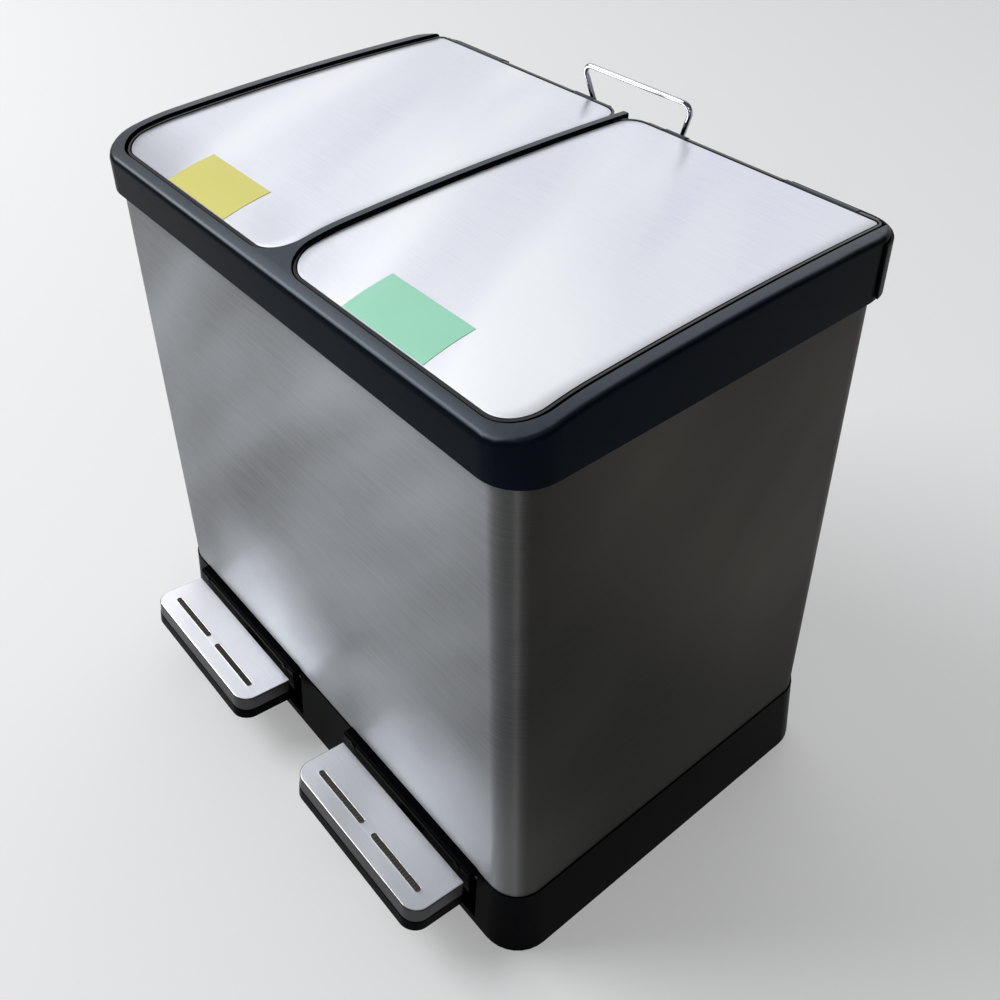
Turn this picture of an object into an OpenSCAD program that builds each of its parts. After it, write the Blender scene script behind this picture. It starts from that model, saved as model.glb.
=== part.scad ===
// Double pedal recycling bin: steel body, black base and rim, two rear-hinged lids.
// Millimetres. Origin at the centre of the body's footprint on the floor,
// +X to the right seen from the front, front face towards -Y, +Z up.

/* [Body] */
// Outside width of the steel sleeve
body_w = 500; // [460:5:560]
// Outside depth of the steel sleeve
body_d = 333; // [315:1:365]
// Outside radius of the sleeve's upright corners
corner_r = 26; // [20:1:32]
// Thickness of the steel sheet
sheet_t = 0.8; // [0.6:0.1:1]
// How far the sleeve's lower edge sits below the base's top edge
sleeve_sink = 14.5; // [13:0.5:16]
// How far the sleeve reaches up inside the rim
sleeve_in = 23.5; // [22:0.5:24]
// Gap between parts that slip into each other
fit_gap = 0.2; // [0.15:0.05:0.3]

/* [Base] */
// Height of the black base band
base_h = 64.5; // [63:0.5:68]
// How far the base stands out from the steel at the floor
base_proud = 5.5; // [4:0.5:7]
// How far the base stands out from the steel at its top edge
base_lip = 1.3; // [1:0.1:2]
// Thickness of the base's floor pan
pan_t = 2.5; // [2:0.1:3]
// Thickness of the shelf that the steel sleeve stands on
shelf_t = 4; // [3:0.5:5]
// Width of that shelf towards the inside
shelf_w = 9; // [8:0.5:11]
// Radius of the posts that join the pan to the base
post_r = 6; // [5:0.5:7]
// How far the deck that the buckets stand on is below the base's top edge
deck_drop = 6.5; // [6:0.5:7]
// Thickness of the deck
deck_t = 2.5; // [2:0.1:2.8]

/* [Rim] */
// Height of the rim from its lower edge to the highest point of the arch
rim_depth = 49.5; // [48:0.5:52]
// How far the rim stands out from the steel
rim_proud = 6; // [5:0.5:7]
// Radius of the rim's outer top edge
rim_round = 4; // [3:0.5:4.5]
// Highest point of the arched top
crown_z = 514; // [512:0.5:518]
// Distance of the highest point in front of the rear face
crown_back = 96.5; // [85:0.5:110]
// Radius of the long arch over the top
crown_r = 3000; // [2600:50:3400]
// Distance behind the front face at which the front roll starts
roll_back = 61.5; // [57:0.5:66]
// Radius of the front roll
roll_r = 222; // [215:1:240]
// Width of the rim's lip from the lid gap to the steel's outside face
lip_w = 5; // [4.5:0.1:5.5]
// The same at the front
front_lip_w = 4; // [3.8:0.1:4.5]
// Width of the bar between the two lids
bar_w = 5.5; // [5:0.1:6.5]
// Depth of the lid well below the top of the lip
well_depth = 15; // [14.6:0.1:16]
// Thickness of the well's floor
well_t = 4; // [3:0.5:4.5]
// Width of the ledge round the bucket openings
ledge_w = 6; // [5.6:0.1:7]

/* [Lids] */
// Gap between a lid and the bar or front lip
lid_gap = 0.55; // [0.4:0.05:0.8]
// Gap between a lid and the rim's lip at the front
front_gap = 1.8; // [1.4:0.1:2.2]
// Gap between a lid and the rim's lip at the side
side_gap = 3.6; // [3:0.1:4]
// Distance of the lids' rear edge in front of the rear face
lid_back = 1.5; // [1.2:0.1:1.8]
// Corner radius of a lid at the front
lid_front_r = 27; // [24:0.5:30]
// Corner radius of a lid at the rear, next to the bar
lid_rear_r = 19; // [16:0.5:22]
// Corner radius of a lid at the rear, on the outside
lid_outer_r = 7; // [6:0.5:8]
// Width of the raised border round a lid
bead_w = 1.6; // [1.4:0.1:1.8]
// Width of the groove between the border and the steel panel
groove_w = 1.4; // [1.2:0.1:1.6]
// Depth of the border's top below the top of the rim's lip
bead_drop = 1.9; // [1.7:0.1:2.1]
// Depth of the steel panel's face below the top of the rim's lip
panel_drop = 2.35; // [2.2:0.05:2.6]
// Thickness of the steel panel on a lid
panel_t = 0.8; // [0.6:0.1:0.9]
// Thickness of a lid's plastic plate
plate_t = 2.2; // [2:0.1:2.4]
// Thickness of a lid's skirt
skirt_t = 2; // [1.8:0.1:2.2]
// Gap between a closed lid's skirt and its rubber bumpers
rest_gap = 0.3; // [0.2:0.05:0.4]
// Height of the rubber bumpers
bumper_h = 1; // [0.8:0.1:1.2]
// Radius of the rubber bumpers
bumper_r = 2.5; // [2.2:0.1:2.6]
// Width of the coloured label
label_w = 83.5; // [70:0.5:95]
// Depth of the coloured label
label_d = 39.4; // [34:0.2:46]
// Thickness of the label film
label_t = 0.25; // [0.2:0.05:0.3]
// How far the label's centre lies towards the bar from the middle of the lid
label_in = 5.95; // [0:0.05:12]

/* [Hinges] */
// Distance of the lid hinge axis below the highest point of the arch
hinge_drop = 8; // [7.8:0.1:8.2]
// Distance of the lid hinge axis in front of the rear face
hinge_back = 0.5; // [0.3:0.1:0.7]
// Outside radius of a lid's hinge barrels
barrel_r = 4; // [3.8:0.1:4.1]
// Outside radius of the rim's hinge knuckles
knuckle_r = 4.6; // [4.3:0.1:4.7]
// Radius of the hinge pins
hinge_pin_r = 1.6; // [1.4:0.1:1.8]
// Radial clearance of every pin in its hole
pin_clear = 0.05; // [0.03:0.01:0.08]
// Gap between neighbouring hinge barrels
barrel_gap = 1; // [0.8:0.1:1.2]
// Opening angle of a lid in degrees
lid_angle = 80; // [70:1:80]

/* [Pedals] */
// Place of a pedal's middle as a share of half the body's width
pedal_x_share = 0.498; // [0.48:0.002:0.51]
// Width of a pedal's steel cover as a share of half the body's width
pedal_w_share = 0.6576; // [0.62:0.002:0.68]
// Depth of a pedal's steel cover
pedal_d = 48; // [44:0.5:54]
// Front corner radius of a pedal
pedal_r = 14; // [11:0.5:18]
// Distance of the pedal's rear edge in front of the steel's front face
pedal_out = 11.7; // [11.3:0.1:13]
// Depth of the pedal's rear top edge below the base's top edge
pedal_drop = 7.5; // [7.1:0.1:8.5]
// Upward slope of a pedal towards its front edge in degrees, also its travel
pedal_angle = 7; // [6:0.5:7.5]
// Height of the steel cover's side wall
cover_h = 13; // [11:0.5:15]
// Thickness of the steel cover
cover_t = 1; // [0.8:0.1:1.2]
// Radius round the steel cover's top edge
cover_round = 1.2; // [1:0.1:2]
// Depth of the whole pedal from top face to underside
pedal_h = 22.5; // [21:0.5:24]
// How far the black tray stands out below the steel cover
tray_proud = 0.4; // [0.2:0.1:0.8]
// Length of one slot in the steel cover
slot_l = 61; // [50:1:62]
// Width of the slots
slot_w = 5; // [4:0.2:6]
// Distance of a slot's middle from the pedal's middle
slot_x = 37; // [34:0.5:39]
// Distance of the slots in front of the pedal's rear edge
slot_y = 31; // [28:0.5:34]
// Pitch of the ribs on the rubber grip
rib_pitch = 3; // [2.5:0.5:4]

/* [Linkage] */
// Place of the pedal levers' pivot along the depth
pivot_y = -20; // [-30:1:-10]
// Depth of the pivot below the base's top edge
pivot_drop = 34.5; // [34:0.1:35]
// Radius of the pivot axle
axle_r = 3; // [2.5:0.5:3.5]
// Outside radius of the lever's pivot tube
hub_r = 6; // [5.5:0.1:6.5]
// Width of a lever
lever_w = 24; // [20:1:28]
// Thickness of a lever
lever_t = 4; // [3:0.5:4]
// Radius of a push rod
rod_r = 3; // [2.5:0.5:3]
// Radius of the crank pin
crank_pin_r = 2; // [1.8:0.1:2.2]
// Clearance round the crank pin in the rod's slot
crank_clear = 0.45; // [0.42:0.01:0.5]

/* [Buckets] */
// Side and front clearance of a bucket in its opening
bucket_gap = 2.2; // [2:0.1:3]
// How far the buckets reach up inside the rim
bucket_rise = 5.5; // [2:0.5:7]
// Wall of the buckets
bucket_t = 2; // [1.8:0.1:2.4]
// Width of the buckets' flange
flange_w = 7; // [6:0.5:9]
// How much a bucket narrows on each side towards its bottom
bucket_draft = 6; // [5:0.5:8]
// Corner radius of the buckets
bucket_r = 24; // [20:1:28]
// Length of the finger slots in the buckets
grip_l = 96; // [90:1:110]
// Height of the finger slots
grip_h = 24; // [22:1:28]

/* [Handle] */
// Thickness of the handle wire
wire_d = 4.5; // [4:0.1:5]
// Half the distance between the handle's feet
foot_x = 41; // [38:0.5:44]
// Half the width of the handle's top
grip_x = 60.3; // [56:0.2:66]
// Height of the handle from pivot to top bar
handle_h = 52; // [48:0.5:56]
// Forward lean of the upright handle in degrees
handle_lean = 6; // [4:0.5:7]
// Height of the handle's pivot above the rim's lower edge
handle_up = 17.5; // [16:0.5:19]
// Bend radius at the handle's top corners
bend_r = 7; // [6:0.5:9]
// Bend radius at the handle's feet
foot_bend = 5; // [4.5:0.1:6]

/* [Hidden] */
$fn = 64;
hull_fn = 32;
overrun = 20;
half_w = body_w / 2;
half_d = body_d / 2;
sleeve_z = base_h - sleeve_sink;
deck_z = base_h - deck_drop;
rim_z = crown_z - rim_depth;
sleeve_top = rim_z + sleeve_in;
crown_y = half_d - crown_back;
roll_y = -half_d + roll_back;
hinge_z = crown_z - hinge_drop;
hinge_y = half_d - hinge_back;
lid_rear_y = half_d - lid_back;
pedal_x = half_w * pedal_x_share;
pedal_w = half_w * pedal_w_share;
pedal_rear = half_d + pedal_out;
pedal_top = base_h - pedal_drop;
pivot_z = base_h - pivot_drop;
bucket_top = rim_z + bucket_rise;
handle_z = rim_z + handle_up;

// Arched top: a long arch over the top that meets a tighter roll at the front
crown_centre_z = crown_z - crown_r;
roll_tilt = asin((roll_y - crown_y) / crown_r);
roll_centre_y = crown_y + (crown_r - roll_r) * sin(roll_tilt);
roll_centre_z = crown_centre_z + (crown_r - roll_r) * cos(roll_tilt);
arch_front = -half_d - 2 * rim_proud;
arch_rear = half_d + 2 * rim_proud;
roll_steps = 9;
crown_steps = 9;
function crown_at(y) = crown_centre_z + sqrt(pow(crown_r, 2) - pow(y - crown_y, 2));
function roll_at(y) = roll_centre_z + sqrt(pow(roll_r, 2) - pow(y - roll_centre_y, 2));
function arch(y) = y < roll_y ? roll_at(y) : crown_at(y);
arch_ys = concat(
    [for (i = [0 : roll_steps - 1]) arch_front + (roll_y - arch_front) * i / roll_steps],
    [for (i = [0 : crown_steps]) roll_y + (arch_rear - roll_y) * i / crown_steps]
);

// Lid places, measured for the right-hand lid
bar_half = bar_w / 2;
well_x = half_w - lip_w;
well_front = -half_d + front_lip_w;
lid_in_x = bar_half + lid_gap;
lid_out_x = well_x - side_gap;
lid_front_y = well_front + front_gap;
edge_w = bead_w + groove_w;
plate_top = panel_drop + panel_t;
plate_under = plate_top + plate_t;
skirt_low = well_depth - bumper_h - rest_gap;
hinge_from = lid_in_x + lid_rear_r;
knuckle_in_at = 18;
knuckle_in_w = 22;
knuckle_out_at = 26;
knuckle_out_w = 62;
knuckle_in = [hinge_from + knuckle_in_at, hinge_from + knuckle_in_at + knuckle_in_w];
knuckle_out = [well_x - knuckle_out_at - knuckle_out_w, well_x - knuckle_out_at];
hinge_to = lid_out_x - lid_outer_r;
label_x = (lid_in_x + lid_out_x) / 2 - label_in;
bumper_x = [bar_half + bumper_r + fit_gap, well_x - bumper_r - fit_gap];
bumper_back = 80;
bumper_y = -half_d + bumper_back;

// Linkage: lever, push rod and crank
barrel_step = 0.6;
half_swing = lid_angle / 2;
lever_share = sin(pedal_angle) / (2 * sin(half_swing));
sway_share = (1 + cos(half_swing)) / 2;
rod_y = (hinge_y + lever_share * sway_share * pivot_y) / (1 + lever_share * sway_share);
crank_r = lever_share * (rod_y - pivot_y);
crank_y = hinge_y - crank_r * cos(half_swing);
crank_z = hinge_z - crank_r * sin(half_swing);
crank_sway = crank_r * (1 - cos(half_swing));
nose_r = lever_t;
foot_gap = 0.3;
foot_flare = 2;
foot_r = rod_r + foot_flare;
rod_foot_z = pivot_z + nose_r + foot_gap;
head_r = crank_pin_r + crank_clear + rod_r;
head_t = rod_r;
crank_gap = 1;
crank_t = 3;
crank_x = head_t / 2 + crank_gap;
flange_t = 1.6;
flange_top = arch(lid_rear_y) - plate_under - foot_gap / 2;
flange_side = 14;
flange_front = 14;
flange_rear = 6;
flange_x = [-flange_side, crank_x + crank_t];
flange_y = [crank_y - flange_front, crank_y + flange_rear];
crank_screw_r = 1.4;
crank_screw_in = 5;
crank_screw_head = 1;
crank_screws_at = [
    [flange_x[0] + crank_screw_in, flange_y[0] + crank_screw_in],
    [flange_x[0] + crank_screw_in, flange_y[1] - crank_screw_in]
];

// Base details
shelf_under = sleeve_z - shelf_t;
inner_wall = 1;
post_in = 30;
post_x = half_w - post_in;
post_y = half_d - post_in;
post_pad = 2;
foot_pad_r = 11;
foot_pad_side = 62;
foot_pad_end = 34;
foot_pad_x = half_w - foot_pad_side;
foot_pad_y = half_d - foot_pad_end;
foot_pad_t = pan_t / 2;
screw_r = 2;
screw_head_r = 3.6;
screw_head_t = 1.6;
saddle_x = 20;
saddle_t = 5;
saddle_half = 8;
axle_end = 4;
axle_half = saddle_x + saddle_t / 2 + axle_end;
clip_r = 5;
clip_t = 1;
opening_play = 3;
opening_half = pedal_w / 2 + opening_play;
opening_low = 7;
hood_play = 1.5;
hood_half = pedal_w / 2 + hood_play;
hood_low = deck_z + fit_gap;
hood_rise = 1.5;
hood_top = base_h + hood_rise;
hood_out = 9;
hood_r = 3;
hood_lip_t = 1.5;
hood_lip_h = 14;
hood_lip_low = hood_low - hood_lip_h;
cap_in = 12.2;
cap_x = pedal_w / 2 - cap_in;
cap_r = 3;
cap_t = 0.8;
deck_play = 0.3;
deck_leg = 3;
rod_hole_play = 3;
rod_hole_r = foot_r + rod_hole_play;
rod_way_half = foot_r + rod_hole_play;
rod_way_front = 11;
bar_cut = 1;
sleeve_play = 1;

// Rear cover
cover_gap = 0.3;
cover_wall = 2;
cover_in = rim_proud + cover_gap;
cover_out = cover_in + cover_wall;
cover_rise = 2;
cover_z = rim_z + cover_rise;
cover_mid_h = 22.5;
cover_mid = cover_z + cover_mid_h;
cover_pod_drop = 7;
cover_pod = crown_z - cover_pod_drop;
cover_wrap = 21.5;
cover_y = half_d - cover_wrap;
cover_pod_x = knuckle_out[0];
cover_screw_shares = [0.34, 0.76];
cover_screw_up = 13.5;
cover_screw_z = cover_z + cover_screw_up;

// Rod guides
guide_shares = [0.32, 0.8];
guide_z = [for (share = guide_shares) sleeve_z + share * (sleeve_top - sleeve_z)];
guide_half = 11;
guide_h = 14;
guide_wall = 3;
guide_front = rod_y - rod_r - guide_wall;
guide_play = 0.3;
guide_bore = rod_r + guide_play;
rivet_end = 1;
rivet_r = 2;
rivet_head_r = 3.6;
rivet_head_t = 0.9;
rivet_x = 7.5;

// Buckets
opening_x = [bar_half + ledge_w, well_x - ledge_w];
opening_back = 14.5;
opening_y = [well_front + ledge_w, rod_y - opening_back];
bucket_x = [opening_x[0] + bucket_gap, opening_x[1] - bucket_gap];
bucket_y = [opening_y[0] + bucket_gap, opening_y[1] - bucket_gap];
bucket_z = deck_z + deck_t + foot_gap;
flange_h = 3;
grip_drop = 40;

// Pedals
tray_z = pedal_h;
tray_lip = 2;
grip_pad_t = 3;
grip_under = cover_t + grip_pad_t;
grip_margin = 7;
pedal_screw_r = 2;
pedal_screw_x = 8;
pedal_screws_y = [10, 30];
tab_side = 4;
tab_w = lever_w + 2 * tab_side;
pedal_screw_h = 12;
nose_inset = 1;
rib_t = rib_pitch / 3;
slot_gap = 0.3;

// Handle
handle_out = 1;
handle_y = half_d + cover_out + wire_d / 2 + handle_out;
bracket_in = 25;
bracket_w = 11;
bracket_out = bracket_in + bracket_w;
bracket_r = 5.5;
bracket_low = 14.5;
bracket_t = 2.4;
bracket_screw_drop = 10.5;
bracket_screw_z = handle_z - bracket_screw_drop;
bracket_screw_r = 1.5;
bracket_head_r = 2.6;
foot_end = 1;
foot_in = bracket_in + foot_end;
bend_swell = 0.03;
bend_lap = 0.25;

// Rounded rectangle of the body, grown by a distance all round
module plan(grow) {
    r = corner_r + grow;
    x = half_w - corner_r;
    y = half_d - corner_r;
    square([2 * x, 2 * (y + r)], center = true);
    square([2 * (x + r), 2 * y], center = true);
    for (sx = [-1, 1])
        for (sy = [-1, 1])
            translate([sx * x, sy * y]) circle(r);
}

// Rectangle with its own radius at each corner: front inner, front outer, rear outer, rear inner
module four_corner(x0, x1, y0, y1, r) {
    polygon([
        [x0 + r[0], y0], [x1 - r[1], y0], [x1, y0 + r[1]], [x1, y1 - r[2]],
        [x1 - r[2], y1], [x0 + r[3], y1], [x0, y1 - r[3]], [x0, y0 + r[0]]
    ]);
    translate([x0 + r[0], y0 + r[0]]) circle(r[0]);
    translate([x1 - r[1], y0 + r[1]]) circle(r[1]);
    translate([x1 - r[2], y1 - r[2]]) circle(r[2]);
    translate([x0 + r[3], y1 - r[3]]) circle(r[3]);
}

// Slab under the arched top, between two depths below it
module arch_slab(x0, x1, top_drop, low_drop) {
    top = [for (y = arch_ys) [y, arch(y) - top_drop]];
    low = [for (y = arch_ys) [y, arch(y) - low_drop]];
    translate([x0, 0, 0]) rotate([90, 0, 90])
        linear_extrude(x1 - x0)
            polygon(concat(top, [for (i = [len(low) - 1 : -1 : 0]) low[i]]));
}

// The same slab down to a flat underside
module under_arch(drop, z0) {
    top = [for (y = arch_ys) [y, arch(y) - drop]];
    translate([-body_w, 0, 0]) rotate([90, 0, 90])
        linear_extrude(2 * body_w)
            polygon(concat(top, [[arch_rear, z0], [arch_front, z0]]));
}

// Round bar along X
module bar_x(x0, x1, y, z, r) {
    translate([x0, y, z]) rotate([0, 90, 0]) cylinder(h = x1 - x0, r = r);
}

// Box given by its lowest and highest corners
module box(low, high) {
    translate(low) cube(high - low);
}

// Outline of a lid, drawn in by a distance
module lid_plan(inset) {
    four_corner(
        lid_in_x + inset, lid_out_x - inset, lid_front_y + inset, lid_rear_y - inset,
        [lid_front_r - inset, lid_front_r - inset, lid_outer_r - inset, lid_rear_r - inset]
    );
}

// Outline of the well that a lid lies in, open at the rear
module well_plan() {
    r = lid_front_r + front_gap;
    four_corner(
        bar_half, well_x, well_front, half_d + cover_out + overrun,
        [r, r, lid_outer_r, lid_outer_r]
    );
}

// Base

module base_body() {
    difference() {
        hull() {
            linear_extrude(sheet_t) plan(base_proud, $fn = hull_fn);
            translate([0, 0, base_h - sheet_t]) linear_extrude(sheet_t) plan(base_lip, $fn = hull_fn);
        }
        translate([0, 0, -overrun]) linear_extrude(shelf_under + overrun) plan(-inner_wall);
        linear_extrude(base_h + overrun) plan(-shelf_w);
        translate([0, 0, sleeve_z]) linear_extrude(base_h) plan(fit_gap);
        for (s = [-1, 1])
            box([s * pedal_x - opening_half, -half_d - overrun, opening_low],
                [s * pedal_x + opening_half, -half_d + shelf_w + overrun, hood_low]);
        for (sx = [-1, 1])
            for (sy = [-1, 1])
                translate([sx * post_x, sy * post_y, 0])
                    cylinder(h = base_h, r = screw_r + pin_clear);
    }
}

// Hood over a pedal opening, with a round moulded cap near each end
module base_hood() {
    y0 = -half_d - fit_gap;
    y1 = -half_d - hood_out;
    translate([pedal_x - hood_half, 0, 0]) rotate([90, 0, 90])
        linear_extrude(2 * hood_half) {
            polygon([
                [y0, hood_low], [y1 + hood_lip_t, hood_low], [y1 + hood_lip_t, hood_lip_low],
                [y1, hood_lip_low], [y1, hood_top - hood_r], [y1 + hood_r, hood_top], [y0, hood_top]
            ]);
            translate([y1 + hood_r, hood_top - hood_r]) circle(hood_r);
        }
    for (s = [-1, 1])
        translate([pedal_x + s * cap_x, y1 - cap_t, hood_low + cap_r + fit_gap])
            rotate([-90, 0, 0]) cylinder(h = 2 * cap_t, r = cap_r);
}

module post_pads() {
    for (sx = [-1, 1])
        for (sy = [-1, 1])
            translate([sx * post_x, sy * post_y, shelf_under])
                difference() {
                    cylinder(h = shelf_t, r = post_r + post_pad);
                    translate([0, 0, -overrun])
                        cylinder(h = shelf_t + 2 * overrun, r = screw_r + pin_clear);
                }
}

module pad_arms() {
    for (sx = [-1, 1])
        for (sy = [-1, 1])
            difference() {
                box([min(sx * post_x, sx * (half_w - shelf_w + inner_wall)),
                        sy * post_y - post_r / 2, shelf_under],
                    [max(sx * post_x, sx * (half_w - shelf_w + inner_wall)),
                        sy * post_y + post_r / 2, sleeve_z]);
                translate([sx * post_x, sy * post_y, 0])
                    cylinder(h = base_h, r = screw_r + pin_clear);
            }
}

module base_skirt() {
    color([0.06, 0.07, 0.09]) {
        base_body();
        base_hood();
        mirror([1, 0, 0]) base_hood();
        post_pads();
        pad_arms();
    }
}

module saddle(x) {
    difference() {
        union() {
            box([x - saddle_t / 2, pivot_y - saddle_half, 0],
                [x + saddle_t / 2, pivot_y + saddle_half, pivot_z]);
            bar_x(x - saddle_t / 2, x + saddle_t / 2, pivot_y, pivot_z, saddle_half);
        }
        bar_x(x - overrun, x + overrun, pivot_y, pivot_z, axle_r + pin_clear);
    }
}

module floor_pan() {
    color([0.1, 0.1, 0.11])
        difference() {
            union() {
                linear_extrude(pan_t) plan(-inner_wall - deck_play);
                for (sx = [-1, 1]) {
                    for (sy = [-1, 1])
                        translate([sx * post_x, sy * post_y, 0])
                            cylinder(h = shelf_under, r = post_r);
                    for (side = [-1, 1])
                        saddle(sx * pedal_x + side * saddle_x);
                }
            }
            for (sx = [-1, 1])
                for (sy = [-1, 1]) {
                    translate([sx * post_x, sy * post_y, -overrun]) {
                        cylinder(h = shelf_under + 2 * overrun, r = screw_r + pin_clear);
                        cylinder(h = overrun + 2 * screw_head_t, r = screw_head_r + fit_gap);
                    }
                    translate([sx * foot_pad_x, sy * foot_pad_y, -overrun])
                        cylinder(h = overrun + foot_pad_t, r = foot_pad_r + fit_gap);
                }
        }
}

module rubber_feet() {
    color([0.05, 0.05, 0.05])
        for (sx = [-1, 1])
            for (sy = [-1, 1])
                translate([sx * foot_pad_x, sy * foot_pad_y, 0])
                    cylinder(h = foot_pad_t, r = foot_pad_r);
}

module base_screws() {
    color([0.7, 0.7, 0.72])
        for (sx = [-1, 1])
            for (sy = [-1, 1])
                translate([sx * post_x, sy * post_y, screw_head_t]) {
                    cylinder(h = screw_head_t, r = screw_head_r);
                    cylinder(h = shelf_under, r = screw_r);
                }
}

module bucket_deck() {
    grow = -sheet_t - deck_play;
    color([0.13, 0.13, 0.14])
        difference() {
            union() {
                translate([0, 0, deck_z]) linear_extrude(deck_t) plan(grow);
                difference() {
                    translate([0, 0, sleeve_z]) linear_extrude(deck_z + deck_t - sleeve_z) plan(grow);
                    linear_extrude(base_h + overrun) plan(grow - deck_leg);
                }
            }
            for (s = [-1, 1]) {
                translate([s * pedal_x, rod_y, 0]) cylinder(h = base_h + overrun, r = rod_hole_r);
                box([s * pedal_x - opening_half, -half_d - overrun, 0],
                    [s * pedal_x + opening_half, -half_d + shelf_w + overrun, deck_z]);
            }
        }
}

module axle() {
    bar_x(pedal_x - axle_half, pedal_x + axle_half, pivot_y, pivot_z, axle_r);
}

module right_pedal_axle() {
    color([0.7, 0.7, 0.72]) axle();
}

module left_pedal_axle() {
    color([0.7, 0.7, 0.72]) mirror([1, 0, 0]) axle();
}

module axle_clips() {
    edge = saddle_x + saddle_t / 2 + fit_gap;
    color([0.35, 0.35, 0.37])
        for (sx = [-1, 1])
            for (side = [-1, 1])
                difference() {
                    bar_x(sx * pedal_x + side * (edge + clip_t / 2) - clip_t / 2,
                        sx * pedal_x + side * (edge + clip_t / 2) + clip_t / 2,
                        pivot_y, pivot_z, clip_r);
                    bar_x(sx * pedal_x - overrun - axle_half, sx * pedal_x + overrun + axle_half,
                        pivot_y, pivot_z, axle_r + pin_clear);
                }
}

// Body

module steel_body() {
    color([0.62, 0.63, 0.65])
        difference() {
            translate([0, 0, sleeve_z]) linear_extrude(sleeve_top - sleeve_z)
                difference() {
                    plan(0);
                    plan(-sheet_t);
                }
            for (s = [-1, 1])
                for (z = guide_z)
                    for (side = [-1, 1])
                        translate([s * pedal_x + side * rivet_x, half_d - overrun, z + guide_h / 2])
                            rotate([-90, 0, 0])
                                cylinder(h = 2 * overrun, r = rivet_r + pin_clear);
        }
}

module rod_guides() {
    for (z = guide_z)
        difference() {
            box([pedal_x - guide_half, guide_front, z],
                [pedal_x + guide_half, half_d - sheet_t, z + guide_h]);
            translate([pedal_x, rod_y, 0]) cylinder(h = crown_z, r = guide_bore);
            for (side = [-1, 1])
                translate([pedal_x + side * rivet_x, guide_front - overrun, z + guide_h / 2])
                    rotate([-90, 0, 0])
                        cylinder(h = 3 * overrun, r = rivet_r + pin_clear);
        }
}

module right_rod_guides() {
    color([0.15, 0.15, 0.16]) rod_guides();
}

module left_rod_guides() {
    color([0.15, 0.15, 0.16]) mirror([1, 0, 0]) rod_guides();
}

module guide_rivets() {
    color([0.75, 0.75, 0.77])
        for (s = [-1, 1])
            for (z = guide_z)
                for (side = [-1, 1])
                    translate([s * pedal_x + side * rivet_x, guide_front + rivet_end, z + guide_h / 2])
                        rotate([-90, 0, 0]) {
                            cylinder(h = half_d - guide_front, r = rivet_r);
                            translate([0, 0, half_d - guide_front - rivet_end])
                                cylinder(h = rivet_head_t, r = rivet_head_r);
                        }
}

// Rim

module rim_skin() {
    hull()
        for (turn = [0 : 30 : 90]) {
            grow = rim_proud - rim_round * (1 - cos(turn));
            drop = rim_round * (1 - sin(turn));
            intersection() {
                translate([0, 0, rim_z]) linear_extrude(crown_z - rim_z) plan(grow, $fn = hull_fn);
                under_arch(drop, rim_z);
            }
        }
}

module rim_knuckle(range, r) {
    difference() {
        union() {
            bar_x(range[0], range[1], hinge_y, hinge_z, r);
            box([range[0], hinge_y - r / 2, arch(hinge_y) - well_depth - well_t],
                [range[1], hinge_y + r, hinge_z]);
        }
        bar_x(range[0] - overrun, range[1] + overrun, hinge_y, hinge_z, hinge_pin_r + pin_clear);
    }
}

module rim_half_cuts() {
    intersection() {
        translate([0, 0, rim_z]) linear_extrude(crown_z) well_plan();
        arch_slab(-half_w, body_w, -overrun, well_depth);
    }
    translate([0, 0, rim_z - overrun]) linear_extrude(crown_z)
        four_corner(opening_x[0], opening_x[1], opening_y[0], opening_y[1],
            [bucket_r, bucket_r, bucket_r, bucket_r]);
    box([pedal_x - rod_way_half, crank_y - rod_way_front, rim_z - overrun],
        [pedal_x + rod_way_half, hinge_y - knuckle_r - fit_gap, crown_z]);
}

module top_rim() {
    color([0.1, 0.11, 0.14]) {
        difference() {
            rim_skin();
            rim_half_cuts();
            mirror([1, 0, 0]) rim_half_cuts();
            intersection() {
                translate([0, 0, rim_z - overrun]) linear_extrude(crown_z) plan(-inner_wall);
                under_arch(well_depth + well_t, rim_z - overrun);
            }
            translate([0, 0, rim_z - overrun])
                linear_extrude(sleeve_top + sleeve_play - rim_z + overrun)
                    difference() {
                        plan(fit_gap);
                        plan(-inner_wall - fit_gap);
                    }
            box([-bar_half - bar_cut, lid_rear_y - groove_w, arch(lid_rear_y) - well_depth],
                [bar_half + bar_cut, half_d + overrun, crown_z + overrun]);
        }
        for (s = [0, 1])
            mirror([s, 0, 0]) {
                rim_knuckle(knuckle_in, knuckle_r);
                rim_knuckle(knuckle_out, knuckle_r);
            }
    }
}

module cover_screw_places(r, y0, y1) {
    for (sx = [-1, 1])
        for (share = cover_screw_shares)
            translate([sx * half_w * share, y0, cover_screw_z])
                rotate([-90, 0, 0]) cylinder(h = y1 - y0, r = r);
}

module rear_cover() {
    color([0.08, 0.09, 0.11])
        difference() {
            intersection() {
                translate([0, 0, cover_z]) linear_extrude(cover_pod - cover_z)
                    difference() {
                        plan(cover_out);
                        plan(cover_in);
                    }
                union() {
                    box([-body_w, cover_y, cover_z], [body_w, body_d, cover_mid]);
                    for (s = [0, 1])
                        mirror([s, 0, 0])
                            box([cover_pod_x, cover_y, cover_z], [body_w, body_d, cover_pod]);
                }
            }
            cover_screw_places(screw_r + pin_clear, half_d, half_d + cover_out + overrun);
            for (s = [-1, 1])
                translate([s * (bracket_in + bracket_out) / 2, half_d, bracket_screw_z])
                    rotate([-90, 0, 0]) cylinder(h = 2 * overrun, r = bracket_screw_r + pin_clear);
        }
}

module cover_screws() {
    color([0.7, 0.7, 0.72]) {
        cover_screw_places(screw_r, half_d + cover_in, half_d + cover_out + fit_gap);
        cover_screw_places(screw_head_r, half_d + cover_out, half_d + cover_out + screw_head_t);
    }
}

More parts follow.
